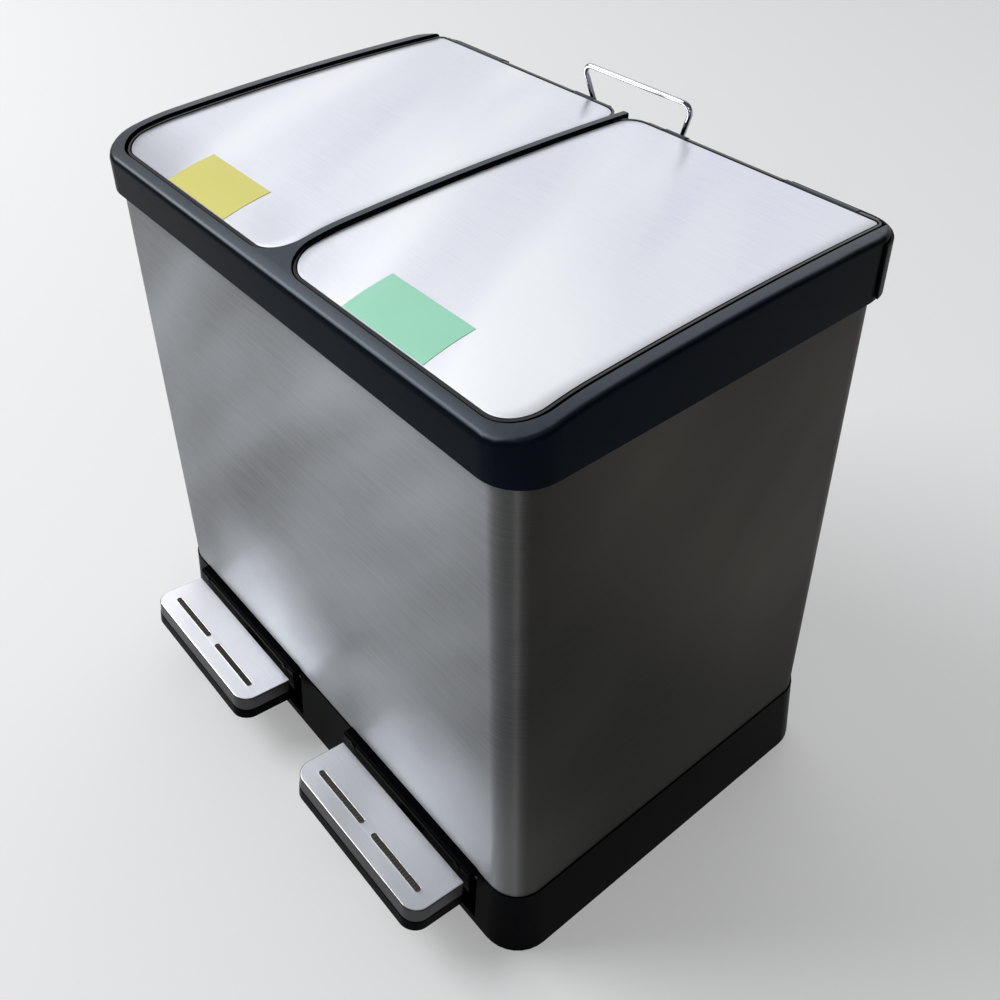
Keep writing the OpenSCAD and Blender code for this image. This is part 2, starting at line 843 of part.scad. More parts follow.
module lid_bumpers() {
    floor_z = arch(bumper_y + bumper_r) - well_depth;
    color([0.04, 0.04, 0.04])
        for (s = [-1, 1])
            for (x = bumper_x)
                translate([s * x, bumper_y, floor_z])
                    cylinder(h = arch(bumper_y - bumper_r) - skirt_low - rest_gap - floor_z, r = bumper_r);
}

module hinge_pin() {
    bar_x(hinge_from, hinge_to, hinge_y, hinge_z, hinge_pin_r);
}

module right_hinge_pin() {
    color([0.7, 0.7, 0.72]) hinge_pin();
}

module left_hinge_pin() {
    color([0.7, 0.7, 0.72]) mirror([1, 0, 0]) hinge_pin();
}

// Handle

module handle_brackets() {
    back = half_d + cover_out;
    color([0.1, 0.1, 0.12])
        for (s = [0, 1])
            mirror([s, 0, 0])
                difference() {
                    union() {
                        box([bracket_in, back, handle_z - bracket_low],
                            [bracket_out, back + bracket_t, handle_z]);
                        bar_x(bracket_in, bracket_out, handle_y, handle_z, bracket_r);
                        box([bracket_in, back, handle_z - bracket_r],
                            [bracket_out, handle_y, handle_z + bracket_r]);
                    }
                    box([0, 0, 0], [body_w, back, crown_z]);
                    bar_x(bracket_in - overrun, bracket_out + overrun, handle_y, handle_z,
                        wire_d / 2 + pin_clear);
                    translate([(bracket_in + bracket_out) / 2, back - overrun, bracket_screw_z])
                        rotate([-90, 0, 0])
                            cylinder(h = bracket_t + 2 * overrun, r = bracket_screw_r + pin_clear);
                }
}

module bracket_screws() {
    back = half_d + cover_out;
    color([0.7, 0.7, 0.72])
        for (s = [-1, 1])
            translate([s * (bracket_in + bracket_out) / 2, back, bracket_screw_z])
                rotate([-90, 0, 0]) {
                    translate([0, 0, -cover_wall]) cylinder(h = cover_wall + bracket_t, r = bracket_screw_r);
                    translate([0, 0, bracket_t]) cylinder(h = screw_head_t, r = bracket_head_r);
                }
}

// Wire along a flat path of points, with a bend of its own radius at each inner point
function unit(v) = v / norm(v);
function turn_at(p, i) = acos(unit(p[i] - p[i - 1]) * unit(p[i + 1] - p[i]));
function cut_at(p, r, i) = i == 0 || i == len(p) - 1 ? 0 : r[i] * tan(turn_at(p, i) / 2);

module wire(p, r) {
    for (i = [0 : len(p) - 2]) {
        d = unit(p[i + 1] - p[i]);
        a = p[i] + d * (cut_at(p, r, i) - (i > 0 ? bend_lap : 0));
        b = p[i + 1] - d * (cut_at(p, r, i + 1) - (i < len(p) - 2 ? bend_lap : 0));
        translate([a[0], 0, a[1]]) rotate([0, 90 - atan2(d[1], d[0]), 0])
            cylinder(h = norm(b - a), r = wire_d / 2);
    }
    for (i = [1 : len(p) - 2]) {
        d0 = unit(p[i] - p[i - 1]);
        d1 = unit(p[i + 1] - p[i]);
        side = sign(d0[0] * d1[1] - d0[1] * d1[0]);
        start = p[i] - d0 * cut_at(p, r, i);
        centre = start + side * r[i] * [-d0[1], d0[0]];
        from = start - centre;
        translate([centre[0], 0, centre[1]]) rotate([90, 0, 0])
            rotate([0, 0, atan2(from[1], from[0]) - (side < 0 ? turn_at(p, i) : 0)])
                rotate_extrude(angle = turn_at(p, i))
                    translate([r[i], 0]) circle(wire_d / 2 + bend_swell);
    }
}

module carry_handle() {
    path = [
        [-foot_in, 0], [-foot_x, 0], [-grip_x, handle_h],
        [grip_x, handle_h], [foot_x, 0], [foot_in, 0]
    ];
    color([0.8, 0.81, 0.83])
        translate([0, handle_y, handle_z]) rotate([handle_lean, 0, 0])
            wire(path, [0, foot_bend, bend_r, bend_r, foot_bend, 0]);
}

// Buckets

module bucket_block(shrink, z0, z1, low_inset) {
    r = bucket_r - shrink;
    hull() {
        translate([0, 0, z1 - sheet_t]) linear_extrude(sheet_t)
            four_corner(bucket_x[0] + shrink, bucket_x[1] - shrink, bucket_y[0] + shrink,
                bucket_y[1] - shrink, [r, r, r, r], $fn = hull_fn);
        translate([0, 0, z0]) linear_extrude(sheet_t)
            four_corner(bucket_x[0] + shrink + low_inset, bucket_x[1] - shrink - low_inset,
                bucket_y[0] + shrink + low_inset, bucket_y[1] - shrink - low_inset,
                [r, r, r, r], $fn = hull_fn);
    }
}

module bucket() {
    mid = (bucket_x[0] + bucket_x[1]) / 2;
    difference() {
        union() {
            bucket_block(flange_w, bucket_z, bucket_top, bucket_draft);
            translate([0, 0, bucket_top - flange_h]) linear_extrude(flange_h)
                four_corner(bucket_x[0], bucket_x[1], bucket_y[0], bucket_y[1],
                    [bucket_r, bucket_r, bucket_r, bucket_r]);
        }
        bucket_block(flange_w + bucket_t, bucket_z + bucket_t, bucket_top + overrun, bucket_draft);
        translate([mid, 0, bucket_top - grip_drop]) rotate([90, 0, 0])
            linear_extrude(2 * body_d, center = true) {
                square([grip_l - grip_h, grip_h], center = true);
                for (s = [-1, 1])
                    translate([s * (grip_l - grip_h) / 2, 0]) circle(grip_h / 2);
            }
    }
}

module right_bucket() {
    color([0.35, 0.37, 0.39]) bucket();
}

module left_bucket() {
    color([0.35, 0.37, 0.39]) mirror([1, 0, 0]) bucket();
}

// Lids

module knuckle_notch(range) {
    box([range[0] - barrel_gap, hinge_y - knuckle_r - barrel_gap / 2, hinge_z - knuckle_r - overrun],
        [range[1] + barrel_gap, hinge_y + overrun, crown_z]);
}

module lid_barrel(x0, x1) {
    bar_x(x0, x1, hinge_y, hinge_z, barrel_r);
    box([x0, lid_rear_y - bead_w, hinge_z - barrel_r / 2], [x1, hinge_y, hinge_z + barrel_r - barrel_step]);
}

module lid_frame() {
    difference() {
        union() {
            difference() {
                intersection() {
                    translate([0, 0, rim_z]) linear_extrude(crown_z - rim_z) lid_plan(0);
                    arch_slab(0, half_w, bead_drop, skirt_low);
                }
                intersection() {
                    translate([0, 0, rim_z]) linear_extrude(crown_z - rim_z) lid_plan(skirt_t);
                    arch_slab(0, half_w, plate_under, skirt_low + overrun);
                }
                intersection() {
                    translate([0, 0, rim_z]) linear_extrude(crown_z - rim_z) lid_plan(bead_w);
                    arch_slab(0, half_w, -overrun, plate_top);
                }
                knuckle_notch(knuckle_in);
                knuckle_notch(knuckle_out);
            }
            lid_barrel(hinge_from, knuckle_in[0] - barrel_gap);
            lid_barrel(knuckle_in[1] + barrel_gap, knuckle_out[0] - barrel_gap);
            lid_barrel(knuckle_out[1] + barrel_gap, hinge_to);
        }
        bar_x(0, body_w, hinge_y, hinge_z, hinge_pin_r + pin_clear);
        for (p = crank_screws_at)
            translate([pedal_x + p[0], p[1], flange_top - overrun])
                cylinder(h = overrun + flange_t + plate_t - barrel_step, r = crank_screw_r + pin_clear);
    }
}

module right_lid_frame() {
    color([0.1, 0.11, 0.14]) lid_frame();
}

module left_lid_frame() {
    color([0.1, 0.11, 0.14]) mirror([1, 0, 0]) lid_frame();
}

module lid_panel() {
    intersection() {
        translate([0, 0, rim_z]) linear_extrude(crown_z - rim_z) lid_plan(edge_w);
        arch_slab(0, half_w, panel_drop, plate_top);
    }
}

module right_lid_panel() {
    color([0.86, 0.86, 0.92]) lid_panel();
}

module left_lid_panel() {
    color([0.86, 0.86, 0.92]) mirror([1, 0, 0]) lid_panel();
}

module lid_label() {
    y0 = lid_front_y + edge_w;
    intersection() {
        box([label_x - label_w / 2, y0, rim_z], [label_x + label_w / 2, y0 + label_d, crown_z]);
        arch_slab(0, half_w, panel_drop - label_t, panel_drop);
    }
}

module right_lid_label() {
    color([0.6, 0.87, 0.74]) lid_label();
}

module left_lid_label() {
    color([0.87, 0.84, 0.49]) mirror([1, 0, 0]) lid_label();
}

module lid_crank() {
    difference() {
        union() {
            translate([pedal_x + crank_x, 0, 0]) rotate([90, 0, 90])
                linear_extrude(crank_t) {
                    polygon([
                        [flange_y[0], flange_top], [flange_y[0], flange_top - flange_t],
                        [crank_y - crank_pin_r - crank_t, crank_z],
                        [crank_y + crank_pin_r + crank_t, crank_z],
                        [flange_y[1], flange_top - flange_t], [flange_y[1], flange_top]
                    ]);
                    translate([crank_y, crank_z]) circle(crank_pin_r + crank_t);
                }
            box([pedal_x + flange_x[0], flange_y[0], flange_top - flange_t],
                [pedal_x + flange_x[1], flange_y[1], flange_top]);
            bar_x(pedal_x - head_t / 2 - crank_gap, pedal_x + crank_x, crank_y, crank_z, crank_pin_r);
            bar_x(pedal_x - head_t / 2 - 2 * crank_gap, pedal_x - head_t / 2 - crank_gap,
                crank_y, crank_z, 2 * crank_pin_r);
        }
        for (p = crank_screws_at)
            translate([pedal_x + p[0], p[1], flange_top - overrun])
                cylinder(h = 2 * overrun, r = crank_screw_r + pin_clear);
    }
}

module right_lid_crank() {
    color([0.7, 0.71, 0.73]) lid_crank();
}

module left_lid_crank() {
    color([0.7, 0.71, 0.73]) mirror([1, 0, 0]) lid_crank();
}

module crank_screws() {
    for (p = crank_screws_at)
        translate([pedal_x + p[0], p[1], flange_top - flange_t - crank_screw_head]) {
            cylinder(h = flange_t + plate_t + crank_screw_head - 2 * barrel_step, r = crank_screw_r);
            cylinder(h = crank_screw_head, r = 2 * crank_screw_r);
        }
}

module right_crank_screws() {
    color([0.5, 0.5, 0.52]) crank_screws();
}

module left_crank_screws() {
    color([0.5, 0.5, 0.52]) mirror([1, 0, 0]) crank_screws();
}

// Linkage

module push_rod() {
    rod_top = crank_z - crank_pin_r - crank_t - 2 * crank_gap;
    translate([pedal_x, rod_y, rod_foot_z]) {
        cylinder(h = rod_r, r = foot_r);
        cylinder(h = rod_top - rod_foot_z, r = rod_r);
    }
    translate([pedal_x - head_t / 2, 0, 0]) rotate([90, 0, 90])
        linear_extrude(head_t)
            difference() {
                union() {
                    translate([rod_y, crank_z]) stadium(crank_sway, head_r);
                    translate([rod_y - rod_r, rod_top - rod_r]) square([2 * rod_r, crank_z - rod_top]);
                }
                translate([rod_y, crank_z]) stadium(crank_sway, crank_pin_r + crank_clear);
            }
}

module stadium(length, r) {
    square([length, 2 * r], center = true);
    for (s = [-1, 1])
        translate([s * length / 2, 0]) circle(r);
}

module right_push_rod() {
    color([0.7, 0.71, 0.73]) push_rod();
}

module left_push_rod() {
    color([0.7, 0.71, 0.73]) mirror([1, 0, 0]) push_rod();
}

// Pedals, in a frame at the middle of the rear top edge that slopes up to the front

module pedal_place() {
    translate([pedal_x, -pedal_rear, pedal_top]) rotate([-pedal_angle, 0, 0]) children();
}

module pedal_plan(inset) {
    half = pedal_w / 2 - inset;
    r = pedal_r - inset;
    four_corner(-half, half, -pedal_d + inset, 0, [r, r, cover_t, cover_t]);
}

module pedal_block(inset, z0) {
    hull()
        for (turn = [0 : 30 : 90]) {
            in = inset + cover_round * (1 - cos(turn));
            top = -inset - cover_round * (1 - sin(turn));
            translate([0, 0, z0]) linear_extrude(top - z0) pedal_plan(in, $fn = hull_fn);
        }
}

module pedal_cover() {
    pedal_place()
        difference() {
            pedal_block(0, -cover_h);
            pedal_block(cover_t, -cover_h - overrun);
            translate([0, -slot_y, -cover_round]) linear_extrude(cover_round + overrun)
                for (s = [-1, 1])
                    translate([s * slot_x, 0]) stadium(slot_l - slot_w, slot_w / 2);
        }
}

module right_pedal_cover() {
    color([0.85, 0.85, 0.88]) pedal_cover();
}

module left_pedal_cover() {
    color([0.85, 0.85, 0.88]) mirror([1, 0, 0]) pedal_cover();
}

module tray_plan(inset) {
    half = pedal_w / 2 - inset;
    r = pedal_r - inset;
    four_corner(-half, half, -pedal_d + inset, -inset, [r, r, cover_t, cover_t]);
}

module pedal_tray() {
    pedal_place()
        difference() {
            union() {
                translate([0, 0, -tray_z]) linear_extrude(tray_z - cover_h - fit_gap)
                    four_corner(-pedal_w / 2 - tray_proud, pedal_w / 2 + tray_proud,
                        -pedal_d - tray_proud, 0,
                        [pedal_r + tray_proud, pedal_r + tray_proud, cover_t, cover_t]);
                translate([0, 0, -cover_h - tray_lip])
                    linear_extrude(cover_h + tray_lip - grip_under - fit_gap)
                        tray_plan(cover_t + 2 * fit_gap);
            }
            for (y = pedal_screws_y)
                for (s = [-1, 1])
                    translate([s * pedal_screw_x, -y, -tray_z - overrun])
                        cylinder(h = overrun + tray_z - cover_h, r = pedal_screw_r + pin_clear);
        }
}

module right_pedal_tray() {
    color([0.07, 0.07, 0.08]) pedal_tray();
}

module left_pedal_tray() {
    color([0.07, 0.07, 0.08]) mirror([1, 0, 0]) pedal_tray();
}

module pedal_grip() {
    run = slot_l - slot_w - 2 * slot_gap;
    ribs = floor(run / rib_pitch);
    pedal_place() {
        translate([0, -slot_y, -grip_under]) linear_extrude(grip_pad_t - fit_gap)
            square([2 * slot_x + slot_l + grip_margin, 2 * grip_margin + slot_w], center = true);
        for (s = [-1, 1])
            translate([s * slot_x, -slot_y, -grip_under]) {
                linear_extrude(grip_pad_t + cover_t / 2) stadium(slot_l - slot_w, slot_w / 2 - slot_gap);
                for (i = [0 : ribs])
                    translate([(i - ribs / 2) * rib_pitch, 0, 0])
                        translate([-rib_t / 2, -slot_w / 2 + slot_gap + fit_gap, 0])
                            cube([rib_t, slot_w - 2 * slot_gap - 2 * fit_gap, grip_pad_t + cover_t]);
            }
    }
}

module right_pedal_grip() {
    color([0.2, 0.18, 0.17]) pedal_grip();
}

module left_pedal_grip() {
    color([0.2, 0.18, 0.17]) mirror([1, 0, 0]) pedal_grip();
}

module pedal_lever() {
    x0 = pedal_x - lever_w / 2;
    x1 = pedal_x + lever_w / 2;
    rear = rod_y;
    front = -pedal_rear;
    difference() {
        union() {
            box([x0, front, pivot_z - lever_t / 2], [x1, rear, pivot_z + lever_t / 2]);
            bar_x(x0 + nose_inset, x1 - nose_inset, rear, pivot_z, nose_r);
            bar_x(pedal_x - saddle_x + saddle_t, pedal_x + saddle_x - saddle_t, pivot_y, pivot_z, hub_r);
            pedal_place()
                translate([-tab_w / 2, -pedal_d + pedal_r / 2, -tray_z - lever_t])
                    cube([tab_w, pedal_d - pedal_r / 2 + 2 * lever_t, lever_t]);
        }
        bar_x(x0 - overrun, x1 + overrun, pivot_y, pivot_z, axle_r + pin_clear);
        pedal_place()
            for (y = pedal_screws_y)
                for (s = [-1, 1])
                    translate([s * pedal_screw_x, -y, -tray_z - lever_t - overrun])
                        cylinder(h = lever_t + 2 * overrun, r = pedal_screw_r + pin_clear);
    }
}

module right_pedal_lever() {
    color([0.66, 0.67, 0.69]) pedal_lever();
}

module left_pedal_lever() {
    color([0.66, 0.67, 0.69]) mirror([1, 0, 0]) pedal_lever();
}

module pedal_screws() {
    pedal_place()
        for (y = pedal_screws_y)
            for (s = [-1, 1])
                translate([s * pedal_screw_x, -y, -tray_z - lever_t]) {
                    cylinder(h = pedal_screw_h, r = pedal_screw_r);
                    translate([0, 0, -screw_head_t]) cylinder(h = screw_head_t, r = screw_head_r);
                }
}

module right_pedal_screws() {
    color([0.7, 0.7, 0.72]) pedal_screws();
}

module left_pedal_screws() {
    color([0.7, 0.7, 0.72]) mirror([1, 0, 0]) pedal_screws();
}

base_skirt();
floor_pan();
rubber_feet();
base_screws();
bucket_deck();
steel_body();
top_rim();
rear_cover();
cover_screws();
lid_bumpers();
left_hinge_pin();
right_hinge_pin();
left_pedal_axle();
right_pedal_axle();
axle_clips();
left_rod_guides();
right_rod_guides();
guide_rivets();
handle_brackets();
bracket_screws();
left_bucket();
right_bucket();
left_lid_frame();
left_lid_panel();
left_lid_label();
left_lid_crank();
left_crank_screws();
right_lid_frame();
right_lid_panel();
right_lid_label();
right_lid_crank();
right_crank_screws();
left_push_rod();
right_push_rod();
left_pedal_lever();
left_pedal_tray();
left_pedal_cover();
left_pedal_grip();
left_pedal_screws();
right_pedal_lever();
right_pedal_tray();
right_pedal_cover();
right_pedal_grip();
right_pedal_screws();
carry_handle();
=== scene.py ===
# %% [markdown]
# A double recycling bin, dressed piece by piece.
# The bin has a brushed steel sleeve, a black moulded base and rim, two arched lids with a steel
# panel each, two foot pedals and a wire carry handle. The solids of every piece come in as a frame
# from the CAD model. We keep each solid whose shape is already right and give it soft edges and a
# finish, and we build a smoother mesh for the shells that mirror the room, because a reflection
# shows every facet.

# %% Load the frame
import math

import bpy
from mathutils import Matrix, Vector
from mathutils.geometry import tessellate_polygon


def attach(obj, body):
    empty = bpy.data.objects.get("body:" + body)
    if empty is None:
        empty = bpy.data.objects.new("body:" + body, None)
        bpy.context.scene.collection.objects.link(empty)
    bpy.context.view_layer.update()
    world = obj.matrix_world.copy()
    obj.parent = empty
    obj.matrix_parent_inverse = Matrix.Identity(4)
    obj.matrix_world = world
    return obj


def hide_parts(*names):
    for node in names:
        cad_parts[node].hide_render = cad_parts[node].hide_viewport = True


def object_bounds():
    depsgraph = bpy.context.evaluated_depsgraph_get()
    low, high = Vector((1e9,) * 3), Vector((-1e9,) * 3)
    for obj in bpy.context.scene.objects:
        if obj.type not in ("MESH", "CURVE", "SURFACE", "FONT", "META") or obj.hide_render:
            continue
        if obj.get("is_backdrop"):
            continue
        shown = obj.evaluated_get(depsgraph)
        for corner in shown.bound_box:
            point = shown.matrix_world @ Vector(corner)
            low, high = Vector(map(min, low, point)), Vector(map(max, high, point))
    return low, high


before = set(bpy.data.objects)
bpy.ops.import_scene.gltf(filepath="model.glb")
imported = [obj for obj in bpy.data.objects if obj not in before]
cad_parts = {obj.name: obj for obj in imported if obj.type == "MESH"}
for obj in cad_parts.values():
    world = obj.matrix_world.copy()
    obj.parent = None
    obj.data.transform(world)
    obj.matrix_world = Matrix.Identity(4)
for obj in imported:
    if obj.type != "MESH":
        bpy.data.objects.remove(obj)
cad_low, cad_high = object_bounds()

# %% [markdown]
# The camera stands in front and to the right of the bin, above it, and looks down about 35
# degrees. Its place was solved from the right angles of the bin in the photograph. The lens is
# given in pixels, as the distance from the eye to a picture 1000 pixels wide, and the small shifts
# put the middle of the lens where the photograph had it.

# %% Camera
picture_size = 1000
lens_in_pixels = 1164.71
lens_middle = (490.43, 352.79)
sensor_mm = 36
nearest_seen, farthest_seen = 0.05, 60
camera_place = Vector((0.60546, -0.47227, 0.88069))
looking = Vector((-0.63850, 0.52062, -0.56682)).normalized()
roll = math.radians(-0.639)

level_right = looking.cross(Vector((0, 0, 1))).normalized()
level_up = level_right.cross(looking)
right = level_right * math.cos(roll) + level_up * math.sin(roll)
up = right.cross(looking)
camera_data = bpy.data.cameras.new("camera")
camera_data.sensor_width = sensor_mm
camera_data.lens = sensor_mm * lens_in_pixels / picture_size
camera_data.shift_x = (picture_size / 2 - lens_middle[0]) / picture_size
camera_data.shift_y = -(picture_size / 2 - lens_middle[1]) / picture_size
camera_data.clip_start, camera_data.clip_end = nearest_seen, farthest_seen
camera = bpy.data.objects.new("camera", camera_data)
bpy.context.scene.collection.objects.link(camera)
turn = Matrix((right, up, -looking)).transposed().to_4x4()
camera.matrix_world = Matrix.Translation(camera_place) @ turn
bpy.context.scene.camera = camera
shifts = [round(shift, 4) for shift in (camera_data.shift_x, camera_data.shift_y)]
print("lens mm:", round(camera_data.lens, 2), "shift:", shifts)

# %% [markdown]
# Materials come next. A finish is a small graph of nodes: one texture in the object's own
# coordinates feeds colour, roughness and bump, so that the pattern sticks to the piece from every
# side. We start with a helper that makes an empty graph with one shader in it, and a few more that
# each add a node or two: a noise, a slope between two values, a slope that follows how a face is
# turned, a mix of two colours, one number made from two, and a bump.

# %% A blank finish and its helpers
noise_low, noise_high = 0.3, 0.7  # a noise seldom leaves these two values
even = (1, 1, 1)


def blank_finish(name, color, roughness, metallic=0.0):
    material = bpy.data.materials.new(name)
    material.use_nodes = True
    shader = material.node_tree.nodes["Principled BSDF"]
    shader.inputs["Base Color"].default_value = (*color, 1)
    shader.inputs["Roughness"].default_value = roughness
    shader.inputs["Metallic"].default_value = metallic
    return material, material.node_tree, shader


def feed(tree, value, socket):
    """Link another node's output to the socket, or write a colour or a number into it."""
    if isinstance(value, bpy.types.NodeSocket):
        tree.links.new(value, socket)
    elif socket.type == "RGBA":
        socket.default_value = (*value, 1)
    else:
        socket.default_value = value


def stretched_noise(
        tree, scale, stretch=even, detail=2.0, turn=(0, 0, 0), place=(0, 0, 0), kind="POINT"):
    """Noise in the object's own coordinates. As a POINT the stretch says how often it repeats along
    each axis; as a TEXTURE it says how long a streak is, and the streak is turned afterwards."""
    where = tree.nodes.new("ShaderNodeTexCoord")
    pull = tree.nodes.new("ShaderNodeMapping")
    pull.vector_type = kind
    pull.inputs["Location"].default_value = place
    pull.inputs["Rotation"].default_value = turn
    pull.inputs["Scale"].default_value = stretch
    noise = tree.nodes.new("ShaderNodeTexNoise")
    noise.inputs["Scale"].default_value = scale
    noise.inputs["Detail"].default_value = detail
    tree.links.new(where.outputs["Object"], pull.inputs["Vector"])
    tree.links.new(pull.outputs["Vector"], noise.inputs["Vector"])
    return noise.outputs["Fac"]


def ramp(tree, source, start, end, low, high, smooth=False):
    """Low where the source is at start, high where it is at end, and a slope between them."""
    slope = tree.nodes.new("ShaderNodeMapRange")
    if smooth:
        slope.interpolation_type = "SMOOTHSTEP"
    for name, value in (("From Min", start), ("From Max", end), ("To Min", low), ("To Max", high)):
        slope.inputs[name].default_value = value
    tree.links.new(source, slope.inputs["Value"])
    return slope.outputs["Result"]


def between(tree, noise, low, high):
    return ramp(tree, noise, noise_low, noise_high, low, high)


def by_normal(tree, axis, turned, facing, low, high):
    """Low on faces whose normal has the value turned along the axis, high where it has facing."""
    where = tree.nodes.new("ShaderNodeTexCoord")
    parts = tree.nodes.new("ShaderNodeSeparateXYZ")
    tree.links.new(where.outputs["Normal"], parts.inputs["Vector"])
    return ramp(tree, parts.outputs[axis], turned, facing, low, high)


def mix_colors(tree, share, first, second):
    """The first colour where the share is 0, the second where it is 1."""
    mix = tree.nodes.new("ShaderNodeMix")
    mix.data_type = "RGBA"
    feed(tree, first, mix.inputs["A"])
    feed(tree, second, mix.inputs["B"])
    tree.links.new(share, mix.inputs["Factor"])
    return mix.outputs["Result"]


def combine(tree, operation, first, second):
    """One number made from two."""
    made = tree.nodes.new("ShaderNodeMath")
    made.operation = operation
    feed(tree, first, made.inputs[0])
    feed(tree, second, made.inputs[1])
    return made.outputs["Value"]


def bump(tree, shader, noise, height, strength):
    relief = tree.nodes.new("ShaderNodeBump")
    relief.inputs["Distance"].default_value = height
    relief.inputs["Strength"].default_value = strength
    tree.links.new(noise, relief.inputs["Height"])
    tree.links.new(relief.outputs["Normal"], shader.inputs["Normal"])

print("finish helpers ready")

# %% [markdown]
# Brushed steel is rolled sheet that was drawn along an abrasive belt. The scratches are hair thin
# and long, and they all run the same way, so the sheet mirrors the room smeared across them. We use
# one noise pulled out along the grain for the scratches, one broad and faint noise for wiped
# streaks, and the shader's own anisotropy with a tangent that runs round the bin. Shade is painted
# into the colour where the sheet turns away over an edge and on the right side of the bin, and
# painted reflections brighten soft spots on the front and on the right side.

# %% Brushed steel
quarter_turn = 0.25
smear = 0.05
scratch_height, scratch_strength = 0.00001, 0.12
wiped_share = 0.85
spot_breakup = 9  # how often the painted reflection spots break up, in a metre


def grain_around(tree):
    """Direction of the grain on the sleeve: level, all the way round."""
    tangent = tree.nodes.new("ShaderNodeTangent")
    tangent.direction_type = "RADIAL"
    tangent.axis = "Z"
    return tangent.outputs["Tangent"]


def grain_across(tree):
    """Direction of the grain on a lid or a pedal: across it, and it turns with the piece."""
    turn = tree.nodes.new("ShaderNodeVectorTransform")
    turn.vector_type = "VECTOR"
    turn.convert_from = "OBJECT"
    turn.convert_to = "WORLD"
    turn.inputs["Vector"].default_value = (1, 0, 0)
    return turn.outputs["Vector"]


def brushed_steel(
        name, dark, light, wiped_light, grain, roughness, direction, anisotropy,
        wiped_size, wiped_turn, wiped_place=(0, 0, 0)):
    """Grain is how often a scratch repeats along each axis; wiped_size is how long a streak is."""
    material, tree, shader = blank_finish(name, light, roughness, 1.0)
    shader.inputs["Anisotropic"].default_value = anisotropy
    shader.inputs["Anisotropic Rotation"].default_value = quarter_turn
    scratches = stretched_noise(tree, 1.0, grain, 3.0)
    wiped = stretched_noise(tree, 1.0, wiped_size, 1.5, wiped_turn, wiped_place, "TEXTURE")
    grained = mix_colors(tree, between(tree, scratches, 0, 1), dark, light)
    streaked = mix_colors(tree, between(tree, wiped, 0, wiped_share), grained, wiped_light)
    rough = between(tree, wiped, roughness - smear, roughness + smear)
    tree.links.new(streaked, shader.inputs["Base Color"])
    tree.links.new(rough, shader.inputs["Roughness"])
    tree.links.new(direction(tree), shader.inputs["Tangent"])
    bump(tree, shader, scratches, scratch_height, scratch_strength)
    return material


def painted_shade_turned(material, axis, turned, facing, tint):
    """Painted shade: multiply the colour by the tint where faces turn away; the normal's axis tells
    how far.
    """
    tree = material.node_tree
    color = tree.nodes["Principled BSDF"].inputs["Base Color"]
    shade = mix_colors(tree, by_normal(tree, axis, turned, facing, 0, 1), tint, (1, 1, 1))
    darker = tree.nodes.new("ShaderNodeVectorMath")
    darker.operation = "MULTIPLY"
    tree.links.new(color.links[0].from_socket, darker.inputs[0])
    tree.links.new(shade, darker.inputs[1])
    tree.links.new(darker.outputs["Vector"], color)


def painted_reflection_spots(material, places, reach, bright):
    """Painted reflection: soft bright spots round the given places, broken up by a noise."""
    tree = material.node_tree
    color = tree.nodes["Principled BSDF"].inputs["Base Color"]
    where = tree.nodes.new("ShaderNodeTexCoord")
    breakup = between(tree, stretched_noise(tree, spot_breakup), 0.6, 1.0)
    shown = color.links[0].from_socket
    for place in places:
        away = tree.nodes.new("ShaderNodeVectorMath")
        away.operation = "DISTANCE"
        away.inputs[1].default_value = place
        tree.links.new(where.outputs["Object"], away.inputs[0])
        near = ramp(tree, away.outputs["Value"], 0, reach, 1, 0, smooth=True)
        shown = mix_colors(tree, combine(tree, "MULTIPLY", near, breakup), shown, bright)
    tree.links.new(shown, color)


# Painted shade: the sleeve's steel is written far darker than the same steel on the lids and
# pedals, a shaded copy of it.
body_steel = brushed_steel(
    "body_steel", dark=(0.09, 0.093, 0.098), light=(0.152, 0.156, 0.164),
    wiped_light=(0.275, 0.284, 0.297), grain=(28, 28, 1150), roughness=0.5,
    direction=grain_around, anisotropy=0.9, wiped_size=(0.07, 0.45, 0.45),
    wiped_turn=(0, math.radians(35), math.radians(45)), wiped_place=(0.06, 0.1, 0))
lid_steel = brushed_steel(
    "lid_steel", dark=(0.62, 0.62, 0.73), light=(0.70, 0.70, 0.80),
    wiped_light=(0.80, 0.81, 0.82), grain=(28, 1250, 500), roughness=0.32,
    direction=grain_across, anisotropy=0.75, wiped_size=(0.085, 0.45, 0.2),
    wiped_turn=(0, 0, math.radians(28)), wiped_place=(0.2, 0.2, 0))
pedal_steel = brushed_steel(
    "pedal_steel", dark=(0.72, 0.71, 0.76), light=(0.82, 0.81, 0.86),
    wiped_light=(0.86, 0.86, 0.89), grain=(40, 1500, 500), roughness=0.34,
    direction=grain_across, anisotropy=0.75, wiped_size=(0.085, 0.3, 0.2),
    wiped_turn=(0, 0, math.radians(28)))

# Painted shade: the pedal steel turns nearly black on its rounded edges and walls, below the flat
# top.
painted_shade_turned(pedal_steel, "Z", turned=0.82, facing=0.99, tint=(0.07, 0.07, 0.07))
# Painted shade: the lid steel is darkened on the front roll, where the arch turns away from the
# top.
painted_shade_turned(lid_steel, "Z", turned=0.955, facing=0.998, tint=(0.66, 0.66, 0.66))
# Painted reflection: soft bright spots low on the front, above the pedals.
front_spots = ((-0.07, -0.167, 0.11), (0.15, -0.167, 0.10), (0.21, -0.167, 0.09))
painted_reflection_spots(body_steel, front_spots, reach=0.13, bright=(0.38, 0.395, 0.42))
# Painted shade: the sleeve's right side is darkened to about a quarter, in a warm brown-grey.
painted_shade_turned(body_steel, "X", turned=0.9, facing=0.1, tint=(0.26, 0.245, 0.222))
